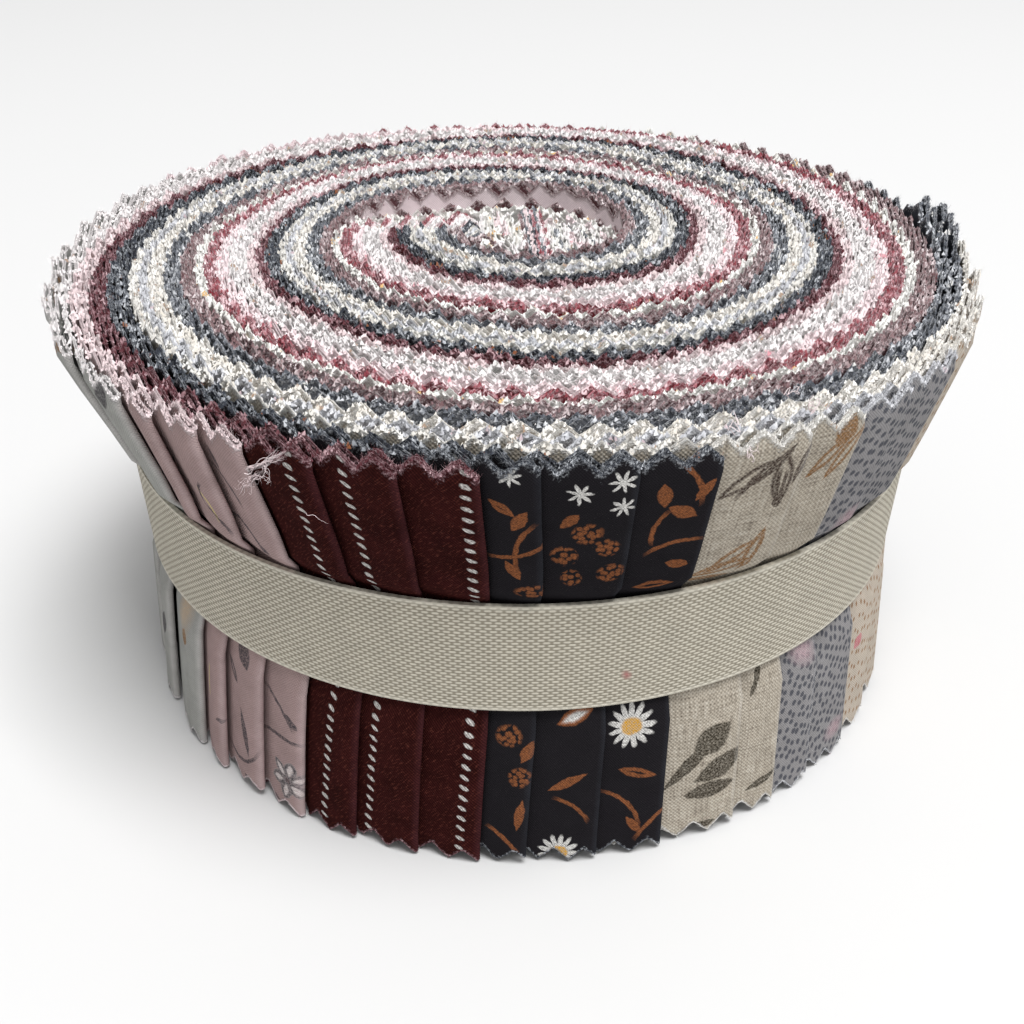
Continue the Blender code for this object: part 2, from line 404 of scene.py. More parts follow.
def level_points(part, wanted, columns, foot):
    """The points of some columns of a leaf at the wanted levels."""
    angle, inset, deep, drop, top = (values[columns] for values in part)
    x = np.empty((len(angle), len(wanted)))
    y = np.empty_like(x)
    for i, level in enumerate(wanted):
        x[:, i], y[:, i] = roll_point(angle, inset, deep, HEIGHTS[level], RADII[level], SHARES[level])
    return np.stack((x, y, heights_of(wanted, top, drop, foot)), axis=-1)


def heights_of(wanted, top, drop, foot):
    """The heights of the levels: they follow the teeth of both edges and the height of the top."""
    z = np.empty((len(top), len(wanted)))
    for i, level in enumerate(wanted):
        height = HEIGHTS[level]
        z[:, i] = height + (top - STRIP_WIDTH) * smooth_step(FLARE_STARTS, STRIP_WIDTH, height)
        z[:, i] += foot * (1.0 - smooth_step(0.0, FOOT_HEIGHT, height))
        share = TOOTH_SHARES.get(level, 0.0)
        z[:, i] -= share * drop if share > 0.0 else share * (TOOTH_DEPTH - drop)
    return np.maximum(z, 0.0)


def fold_nose(outer, under):
    """The nose of a fold, a half turn from the outer leaf's first column to the inner one's."""
    centre = (outer + under) / 2
    half = (outer - under) / 2
    half[:, 2] = 0.0
    forward = np.stack((-half[:, 1], half[:, 0], np.zeros(len(half))), axis=-1)
    turn = np.linspace(0.0, math.pi, NOSE_POINTS + 2)[1:-1, None, None]
    return centre + half * np.cos(turn) + forward * np.sin(turn)


def ribbon(cloth, strip, place, visible_width):
    """One strip, folded in half: its outer leaf, the fold and its inner leaf, as one closed
    ribbon with a print side and a reverse side. Returns its cut edges."""
    shift = rng.uniform(-TOOTH_SHIFT, TOOTH_SHIFT)
    rise = rng.uniform(-STRIP_RISE, STRIP_RISE)
    foot = rng.uniform(0.0, STRIP_FOOT)
    fold = place * PRINT_STEP + visible_width
    levels = range(len(HEIGHTS))
    sides = []
    for inner, sign in ((0, 1.0), (1, -1.0)):
        along, (angle, inset, deep), fine, pitch = leaf_columns(strip, inner)
        drop = tooth_drop(along, pitch, fine, shift)
        top = top_height(angle, deep, strip, inner) + rise
        part = (angle, inset, deep, drop, top)
        near = level_points(part, levels, slice(0, fine), foot)
        far = level_points(part, COARSE_LEVELS, slice(fine, len(along)), foot)
        across = fold - sign * along
        sides.append((near, far, across[:fine], across[fine:]))
    outer, under = sides

    nose = fold_nose(outer[0][0], under[0][0])
    nose_across = np.linspace(outer[2][0], under[2][0], NOSE_POINTS + 2)[1:-1]
    sections = (
        (outer[1][::-1], outer[3][::-1]),
        (
            np.concatenate((outer[0][::-1], nose, under[0])),
            np.concatenate((outer[2][::-1], nose_across, under[2])),
        ),
        (under[1], under[3]),
    )
    normals = ribbon_normals([section[0] for section in sections])
    tone = rng.uniform(-1.0, 1.0)
    rings = []
    edges = []
    for (points, across), normal in zip(sections, normals):
        ring = add_section(cloth, points, normal, across, fold, tone)
        join_columns(cloth, ring)
        rings.append(ring)
        edges.append({"top": points[:, -1], "foot": points[:, 0], "normal": normal[:, -1], "tone": tone})
    stitch(cloth, rings[0][-1], rings[1][0], COARSE_LEVELS, False)
    stitch(cloth, rings[2][0], rings[1][-1], COARSE_LEVELS, True)
    close_end(cloth, rings[0][0], False)
    close_end(cloth, rings[2][-1], True)
    return edges


def ribbon_normals(sections):
    """The direction of the print side, level, at every point of a path given in sections."""
    ends = [section[:, [0, -1], :2] for section in sections]
    path = np.concatenate(ends)
    step = np.gradient(path, axis=0)
    step /= np.linalg.norm(step, axis=-1, keepdims=True)
    flat = np.stack((step[..., 1], -step[..., 0]), axis=-1)
    normals = []
    first = 0
    for section in sections:
        part = flat[first : first + len(section)]
        first += len(section)
        share = np.linspace(0.0, 1.0, section.shape[1])[None, :, None]
        normal = part[:, :1] * (1.0 - share) + part[:, 1:] * share
        normals.append(np.concatenate((normal, np.zeros(normal.shape[:-1] + (1,))), axis=-1))
    return normals


def add_section(cloth, points, normal, across, fold, tone):
    """Adds the vertices of a stretch of ribbon. Each ring goes up the print side and down the
    reverse side. fold is where across the strip its fold lies."""
    half = CLOTH_THICKNESS / 2
    height = points[..., 2]
    prints = np.zeros(points.shape)
    prints[..., 0] = across[:, None]
    prints[..., 1] = height
    finishes = np.zeros(points.shape)
    finishes[..., 0] = np.minimum(height[:, -1:] - height, (height - height[:, :1]) * FOOT_SHARP)
    finishes[..., 1] = tone
    finishes[..., 2] = np.abs(across - fold)[:, None]
    front = cloth.add(points + normal * half, prints, finishes)
    prints[..., 2] = 1.0
    back = cloth.add(points - normal * half, prints, finishes)
    return np.concatenate((front, back[:, ::-1]), axis=1)


def join_columns(cloth, ring):
    following = np.roll(ring, -1, axis=1)
    cloth.add_faces(ring[:-1], ring[1:], following[1:], following[:-1])


def stitch(cloth, coarse, fine, wanted, flip):
    """Joins a ring of few levels to one of all the levels."""
    levels = len(HEIGHTS)
    few = len(wanted)
    for side in (0, 1):
        near = coarse[side * few : (side + 1) * few]
        far = fine[side * levels : (side + 1) * levels]
        places = list(wanted) if side == 0 else [levels - 1 - level for level in reversed(wanted)]
        for i in range(few - 1):
            low, high = places[i], places[i + 1]
            corners = [(near[i], far[j], far[j + 1]) for j in range(low, high)]
            corners.append((near[i], far[high], near[i + 1]))
            for corner in corners:
                cloth.add_faces(*(corner[::-1] if flip else corner))
    for first, second in ((few - 1, few), (2 * few - 1, 0)):
        at = (levels - 1, levels) if first == few - 1 else (2 * levels - 1, 0)
        corner = (coarse[first], fine[at[0]], fine[at[1]], coarse[second])
        cloth.add_faces(*(corner[::-1] if flip else corner))


def close_end(cloth, ring, flip):
    count = len(ring) // 2
    for i in range(count - 1):
        corner = (ring[i], ring[i + 1], ring[2 * count - 2 - i], ring[2 * count - 1 - i])
        cloth.add_faces(*(corner[::-1] if flip else corner))


# The fuzz of the cut edges. The columns are how many a millimetre, how far down they start,
# their length, their width, how far they lean, how upright they stand, and their corners: two
# for a flat fibre, three for a tuft of yarn ends
TUFTS = (1.95, 0.30, (0.22, 0.50), (0.38, 0.74), 0.45, 1.0, 3)
INNER_TUFTS = (3.6, 0.70, (0.25, 0.65), (0.40, 0.80), 0.45, 1.0, 3)
FIBRES = (0.5, 0.10, (0.50, 1.20), (0.03, 0.06), 0.70, 1.0, 2)
FOLD_TUFTS = (7.0, 0.35, (0.12, 0.32), (0.14, 0.30), 0.50, 1.0, 3)
FOLD_FIBRES = (8.0, 0.30, (0.30, 1.10), (0.03, 0.06), 0.80, 1.0, 2)
FOOT_FIBRES = (5.0, 0.00, (0.20, 0.70), (0.03, 0.08), 0.60, -0.6, 2)
TUFT_SPREAD = 0.22
ROOT_DEPTH = 0.15
LEAST_HEIGHT = 0.05

# The shading direction of the fuzz: straight up, along its lean, and outwards round it
UPWARDS = 0.7
LEANING = 0.5
ROUNDING = 0.28


def add_fuzz(fuzz, row, normal, tone, kind):
    """Fuzz along a cut edge given as a row of points. Its shading is rounded, as a yarn's."""
    per_mm, down, lengths, widths, spread, up, corners = kind
    steps = np.linalg.norm(np.diff(row, axis=0), axis=1)
    along = np.concatenate(([0.0], np.cumsum(steps)))
    count = max(int(along[-1] * per_mm), 1)
    at = rng.uniform(0.0, along[-1], count)
    root = np.stack([np.interp(at, along, row[:, i]) for i in range(3)], axis=-1)
    side = np.stack([np.interp(at, along, normal[:, i]) for i in range(3)], axis=-1)
    root += side * rng.uniform(-TUFT_SPREAD, TUFT_SPREAD, (count, 1))
    root[:, 2] -= rng.uniform(0.0, down, count)
    lean = rng.normal(0.0, spread, (count, 3))
    lean[:, 2] = up
    lean /= np.linalg.norm(lean, axis=1, keepdims=True)
    tip = root + lean * rng.uniform(*lengths, (count, 1))
    root[:, 2] -= ROOT_DEPTH * up
    turn = rng.uniform(0.0, math.tau, (count, 1)) + np.arange(corners) * math.tau / corners
    level = np.stack((np.cos(turn), np.sin(turn), np.zeros(turn.shape)), axis=-1)
    base = root[:, None] + level * rng.uniform(*widths, (count, 1, 1)) / 2
    points = np.concatenate((base, tip[:, None]), axis=1)
    points[..., 2] = np.maximum(points[..., 2], LEAST_HEIGHT)
    upright = (np.array((0.0, 0.0, UPWARDS)) + lean * LEANING)[:, None]
    rounded = np.concatenate((upright + level * ROUNDING, upright), axis=1)
    # The tips count as nearest to the tip, which sets the painted shade of the fuzz
    finishes = np.zeros(points.shape)
    finishes[:, -1, 0] = 1.0
    finishes[..., 1] = tone
    finishes[..., 2] = rng.uniform(0.0, 1.0, (count, 1))
    numbers = fuzz.add(points, points, finishes, rounded)
    for corner in range(1 if corners == 2 else corners):
        fuzz.add_faces(numbers[:, corner], numbers[:, (corner + 1) % corners], numbers[:, corners])


# The inner ends of the strips, which fill the middle as two packs of loops with straight ends
# between them: middle, half sizes of the outermost loop, turn, and the cloths from outside in
INNER_LOOPS = (
    ((-1.5, 16.0), (2.9, 8.6), 13.0, ("heather", "ivory", "cream", "ivory", "blush")),
    (
        (9.8, 10.5),
        (4.9, 11.0),
        14.0,
        ("blush", "ivory", "heather", "ivory", "slate", "ivory", "heather", "blush"),
    ),
    ((-1.6, 5.0), (2.4, 2.6), 0.0, ("heather", "ivory", "blush")),
)
LOOP_PITCH = 0.62
LOOP_STRETCH = 1.3
LOOP_ANGLES = (100.0, 445.0, 3.0)
LOOP_RISE = (0.1, 0.9)
STRAIGHT_ENDS = ("plum", "slate", "dusty_pink", "navy", "deep_red", "slate", "blush", "deep_red")
STRAIGHT_FROM = (1.2, 24.5)
STRAIGHT_TO = (2.6, 3.5)
STRAIGHT_PITCH = 0.46
STRAIGHT_STEPS = 60
STRAIGHT_SWAY = 0.4
INNER_COLUMNS_PER_TOOTH = 4
INNER_JITTER = 0.12


def inner_paths(name):
    """The level paths of a cloth's inner ends, as rows of points at the rim."""
    paths = []
    around = np.radians(np.arange(*LOOP_ANGLES))
    for middle, halves, turn, cloths in INNER_LOOPS:
        turn = math.radians(turn)
        for place, cloth in enumerate(cloths):
            if cloth == name:
                x = (halves[0] - place * LOOP_PITCH) * np.cos(around)
                y = (halves[1] - place * LOOP_PITCH * LOOP_STRETCH) * np.sin(around)
                turned_x = x * math.cos(turn) - y * math.sin(turn)
                turned_y = x * math.sin(turn) + y * math.cos(turn)
                paths.append(np.stack((turned_x, turned_y), axis=-1) + middle)
    for place, cloth in enumerate(STRAIGHT_ENDS):
        if cloth == name:
            share = np.linspace(0.0, 1.0, STRAIGHT_STEPS)[:, None]
            row = np.array(STRAIGHT_FROM) * (1.0 - share) + np.array(STRAIGHT_TO) * share
            paths.append(row + (place * STRAIGHT_PITCH, STRAIGHT_SWAY * math.sin(place * 2.0)))
    return paths


def inner_end(cloth, fuzz, path):
    """One leaf of the inner ends along a level path, with its fuzz."""
    length = np.concatenate(([0.0], np.cumsum(np.hypot(*np.diff(path, axis=0).T))))
    along = np.arange(0.0, length[-1], TOOTH_PITCH / INNER_COLUMNS_PER_TOOTH)
    x, y = (np.interp(along, length, path[:, axis]) for axis in (0, 1))
    phase = along / TOOTH_PITCH + rng.uniform(0.0, 1.0)
    drop = TOOTH_DEPTH * (1.0 - PRESSED) * 2.0 * np.abs(phase - np.round(phase))
    drop += rng.normal(0.0, INNER_JITTER, len(along))
    top = np.full(len(along), STRIP_WIDTH - INNER_SLIP) + rng.uniform(*LOOP_RISE)
    points = np.empty((len(along), len(COARSE_LEVELS), 3))
    for i, level in enumerate(COARSE_LEVELS):
        scale = RADII[level] / RIM_RADIUS
        shift = BODY_SHIFT_X * (1.0 - smooth_step(FLARE_STARTS, STRIP_WIDTH, HEIGHTS[level]))
        points[:, i, 0] = x * scale + shift
        points[:, i, 1] = y * scale
    points[..., 2] = heights_of(COARSE_LEVELS, top, drop, 0.0)
    normal = ribbon_normals([points])[0]
    tone = rng.uniform(-1.0, 1.0)
    ring = add_section(cloth, points, normal, along, -PRINT_STEP, tone)
    join_columns(cloth, ring)
    close_end(cloth, ring[0], False)
    close_end(cloth, ring[-1], True)
    for kind in (INNER_TUFTS, FIBRES):
        add_fuzz(fuzz, points[:, -1], normal[:, -1], tone, kind)


def cloth_group(index):
    """All the strips of one cloth as one piece, and the fuzz of their cut edges as another."""
    name = CLOTHS[index][0]
    cloth = Cloth()
    fuzz = Cloth()
    numbers = [strip for strip, row in enumerate(STRIPS) if row[0] == index]
    for place, strip in enumerate(numbers):
        previous = FOLD_ANGLES[strip - 1] - (360.0 if strip == 0 else 0.0)
        visible_width = math.radians(FOLD_ANGLES[strip] - previous) * BODY_RADIUS
        edges = ribbon(cloth, strip, place, visible_width)
        for part, edge in enumerate(edges):
            row, normal, tone = edge["top"], edge["normal"], edge["tone"]
            kinds = (FOLD_TUFTS, FOLD_FIBRES) if part == 1 else (TUFTS, FIBRES)
            if strip == SLIPPED_STRIP and part == 0:
                kinds = (FIBRES,)
            for kind in kinds:
                add_fuzz(fuzz, row, normal, tone, kind)
        add_fuzz(fuzz, edges[1]["foot"], edges[1]["normal"], edges[1]["tone"], FOOT_FIBRES)
    for path in inner_paths(name):
        inner_end(cloth, fuzz, path)
    strips = cloth.make(f"strips_{name}", cloth_material(name))
    frayed = fuzz.make(f"fuzz_{name}", fuzz_material(name))
    frayed.visible_shadow = False
    return strips


# The loose threads: where they begin and end, how far they curl, how many there are, how far
# they spread at the ends, and their width
THREADS = (
    ("torn corner", (-28.0, -57.6, 58.6), (-23.6, -60.6, 62.4), 0.22, 20, 0.30, 0.10),
    ("frayed tip", (-26.4, -58.8, 58.9), (-28.8, -57.9, 56.6), 0.40, 12, 0.42, 0.07),
    ("frayed side", (-25.6, -59.6, 60.8), (-25.4, -60.4, 59.0), 0.30, 6, 0.35, 0.06),
    ("curl over the beige", (22.8, -58.2, 63.6), (23.2, -58.4, 65.6), 0.45, 2, 0.30, 0.13),
    ("curl over the cream", (31.6, -53.9, 63.6), (32.0, -54.2, 65.4), 0.45, 2, 0.30, 0.13),
    ("curl on the slate", (30.0, -49.4, 63.6), (31.2, -49.8, 64.8), 0.50, 2, 0.30, 0.13),
    ("curl on the beige", (24.6, -59.2, 61.0), (25.0, -60.2, 63.0), 0.40, 3, 0.35, 0.10),
    ("end on the maroon", (-21.6, -61.0, 55.6), (-19.2, -61.6, 54.4), 0.20, 1, 0.10, 0.07),
)
THREAD_SIDES = 4
THREAD_STEPS = 14
THREAD_WAVES = (1.0, 2.6)
THREAD_CURLS = (0.4, 1.2)
THREAD_ACROSS = (0.3, 0.9, 0.2)
THREAD_TAPER = 1.02
THREAD_PALENESS = (0.2, 1.0)
# How near to a tip the threads count, which sets their painted shade
THREAD_TIP = 0.7


def build_threads():
    """The loose threads and the torn corner of pink cloth, as thin curled tubes."""
    cloth = Cloth()
    share = np.linspace(0.0, 1.0, THREAD_STEPS)
    around = np.arange(THREAD_SIDES) * math.tau / THREAD_SIDES
    for _, start, end, curl, count, spread, width in THREADS:
        for _ in range(count):
            first = np.array(start) + rng.normal(0.0, spread * 0.5, 3)
            last = np.array(end) + rng.normal(0.0, spread, 3)
            path = first + (last - first) * share[:, None]
            waves = rng.uniform(*THREAD_WAVES, 3) * math.tau
            bend = np.sin(share[:, None] * waves + rng.uniform(0.0, math.tau, 3))
            path += bend * curl * rng.uniform(*THREAD_CURLS, 3)
            along = np.gradient(path, axis=0)
            along /= np.linalg.norm(along, axis=1, keepdims=True)
            side = np.cross(along, THREAD_ACROSS)
            side /= np.linalg.norm(side, axis=1, keepdims=True)
            other = np.cross(along, side)
            taper = width / 2 * np.sqrt(THREAD_TAPER - share)[:, None, None]
            ring = side[:, None] * np.cos(around)[:, None] + other[:, None] * np.sin(around)[:, None]
            points = path[:, None] + ring * taper
            finishes = np.zeros(points.shape)
            finishes[..., 0] = THREAD_TIP
            finishes[..., 2] = rng.uniform(*THREAD_PALENESS)
            join_columns(cloth, cloth.add(points, points, finishes))
    cloth.make("loose_threads", fuzz_material("dusty_pink"))


class Shader:
    """Short ways to add and link the nodes of one material."""

    def __init__(self, name):
        self.material = bpy.data.materials.new(name)
        self.material.use_nodes = True
        self.tree = self.material.node_tree
        self.principled = self.tree.nodes["Principled BSDF"]

    def link(self, value, socket):
        if isinstance(value, bpy.types.NodeSocket):
            self.tree.links.new(value, socket)
        elif isinstance(value, tuple) and socket.type == "RGBA":
            socket.default_value = (*value, 1.0)
        else:
            socket.default_value = value

    def number_math(self, operation, *values):
        node = self.tree.nodes.new("ShaderNodeMath")
        node.operation = operation
        for value, socket in zip(values, node.inputs):
            self.link(value, socket)
        return node.outputs[0]

    plus = partialmethod(number_math, "ADD")
    minus = partialmethod(number_math, "SUBTRACT")
    times = partialmethod(number_math, "MULTIPLY")
    over = partialmethod(number_math, "DIVIDE")
    power = partialmethod(number_math, "POWER")
    larger = partialmethod(number_math, "MAXIMUM")
    size = partialmethod(number_math, "ABSOLUTE")
    sine = partialmethod(number_math, "SINE")

    def vector_math(self, operation, *values):
        node = self.tree.nodes.new("ShaderNodeVectorMath")
        node.operation = operation
        sockets = [node.inputs[0], node.inputs[3] if operation == "SCALE" else node.inputs[1]]
        for value, socket in zip(values, sockets):
            self.link(value, socket)
        return node.outputs["Value" if operation == "LENGTH" else "Vector"]

    shaded = partialmethod(vector_math, "SCALE")
    length = partialmethod(vector_math, "LENGTH")

    def attribute(self, name):
        node = self.tree.nodes.new("ShaderNodeAttribute")
        node.attribute_name = name
        return node.outputs["Vector"]

    def split(self, vector):
        node = self.tree.nodes.new("ShaderNodeSeparateXYZ")
        self.link(vector, node.inputs[0])
        return node.outputs

    def noise(self, vector, scale, detail=2.0, roughness=0.5, output="Fac"):
        node = self.tree.nodes.new("ShaderNodeTexNoise")
        self.link(vector, node.inputs["Vector"])
        node.inputs["Scale"].default_value = scale
        node.inputs["Detail"].default_value = detail
        node.inputs["Roughness"].default_value = roughness
        return node.outputs[output]

    def local(self, vector, x, y, turn=0.0, size=(1.0, 1.0)):
        """The vector in a frame at (x, y), turned by degrees and scaled so that size is 1."""
        node = self.tree.nodes.new("ShaderNodeMapping")
        node.vector_type = "TEXTURE"
        self.link(vector, node.inputs["Vector"])
        node.inputs["Location"].default_value = (x, y, 0.0)
        node.inputs["Rotation"].default_value = (0.0, 0.0, math.radians(turn))
        node.inputs["Scale"].default_value = (*size, 1.0)
        return node.outputs[0]

    def scaled(self, value, low, high, out_low, out_high):
        node = self.tree.nodes.new("ShaderNodeMapRange")
        self.link(value, node.inputs["Value"])
        for socket, number in zip(node.inputs[1:5], (low, high, out_low, out_high)):
            socket.default_value = number
        return node.outputs["Result"]

    def below(self, value, edge, soft):
        """1 where the value is under the edge, 0 over it, with a soft step."""
        return self.scaled(value, edge - soft, edge + soft, 1.0, 0.0)

    def mix(self, share, first, second):
        node = self.tree.nodes.new("ShaderNodeMix")
        node.data_type = "RGBA"
        self.link(share, node.inputs[0])
        self.link(first, node.inputs[6])
        self.link(second, node.inputs[7])
        return node.outputs[2]

    def voronoi(self, vector, scale, randomness=1.0):
        node = self.tree.nodes.new("ShaderNodeTexVoronoi")
        self.link(vector, node.inputs["Vector"])
        node.voronoi_dimensions = "2D"
        node.inputs["Scale"].default_value = scale
        node.inputs["Randomness"].default_value = randomness
        return node.outputs["Distance"]

    def wave(self, value, pitch):
        return self.sine(self.times(value, math.tau / pitch))

    def warped(self, vector, reach, scale):
        """The vector moved about a little, so that drawn lines look drawn by hand."""
        moved = self.vector_math("SUBTRACT", self.noise(vector, scale, output="Color"), (0.5, 0.5, 0.5))
        return self.vector_math("ADD", vector, self.shaded(moved, reach))

    def bump(self, height):
        """Raises the surface by a height given in millimetres."""
        node = self.tree.nodes.new("ShaderNodeBump")
        self.link(height, node.inputs["Height"])
        node.inputs["Distance"].default_value = MM
        self.tree.links.new(node.outputs[0], self.principled.inputs["Normal"])

    def soften(self, share):
        """Turns the shading normal upwards by a share, as light spreads inside loose cotton."""
        node = self.tree.nodes.new("ShaderNodeNewGeometry")
        kept = self.shaded(node.outputs["Normal"], 1.0 - share)
        turned = self.vector_math("ADD", kept, (0.0, 0.0, share))
        self.link(self.vector_math("NORMALIZE", turned), self.principled.inputs["Normal"])

    def finish(self, colour, roughness, sheen, specular):
        self.link(colour, self.principled.inputs["Base Color"])
        self.principled.inputs["Roughness"].default_value = roughness
        self.principled.inputs["Sheen Weight"].default_value = sheen
        self.principled.inputs["Specular IOR Level"].default_value = specular


# What each cloth is made of: colour of its face, of its reverse, of its cut edge and of the
# palest yarn ends there, and its weave
SRGB_LOOKS = {
    "dusty_pink": ((160, 138, 136), (208, 192, 192), (216, 196, 198), (238, 226, 227), "plain"),
    "maroon": ((48, 18, 17), (110, 68, 72), (98, 58, 64), (196, 166, 171), "twill"),
    "navy": ((33, 31, 34), (80, 82, 92), (66, 70, 78), (190, 193, 198), "plain"),
    "beige_linen": ((172, 163, 149), (212, 206, 196), (214, 211, 206), (237, 236, 233), "linen"),
    "blue_grey": ((143, 141, 142), (170, 170, 175), (186, 187, 192), (228, 228, 231), "plain"),
    "cream": ((187, 176, 163), (216, 209, 198), (223, 219, 213), (241, 239, 236), "plain"),
    "slate": ((64, 67, 74), (112, 115, 122), (102, 105, 112), (210, 212, 216), "plain"),
    "plum": ((90, 61, 64), (222, 208, 211), (142, 118, 120), (224, 213, 214), "plain"),
    "ivory": ((204, 201, 195), (222, 219, 214), (228, 226, 222), (241, 240, 238), "plain"),
    "deep_red": ((112, 38, 46), (180, 130, 135), (150, 90, 97), (226, 202, 206), "plain"),
    "blush": ((216, 198, 199), (228, 216, 217), (234, 214, 217), (246, 237, 238), "plain"),
    "heather": ((158, 158, 154), (206, 206, 204), (226, 220, 220), (242, 239, 239), "plain"),
}
LOOKS = {name: (*(rgb(*c) for c in row[:-1]), row[-1]) for name, row in SRGB_LOOKS.items()}
INKS = {
    "white": rgb(226, 224, 220),
    "pale_white": rgb(214, 206, 204),
    "rust": rgb(142, 88, 56),
    "yellow": rgb(206, 152, 40),
    "pale_yellow": rgb(206, 188, 130),
    "umber": rgb(56, 42, 38),
    "olive": rgb(48, 43, 34),
    "ochre": rgb(132, 94, 56),
    "soot": rgb(70, 66, 70),
    "brown": rgb(112, 62, 52),
    "ink_grey": rgb(74, 76, 84),
    "tan": rgb(186, 164, 140),
    "rose": rgb(196, 116, 128),
    "dull_rose": rgb(166, 116, 112),
    "pale_rose": rgb(182, 158, 163),
}

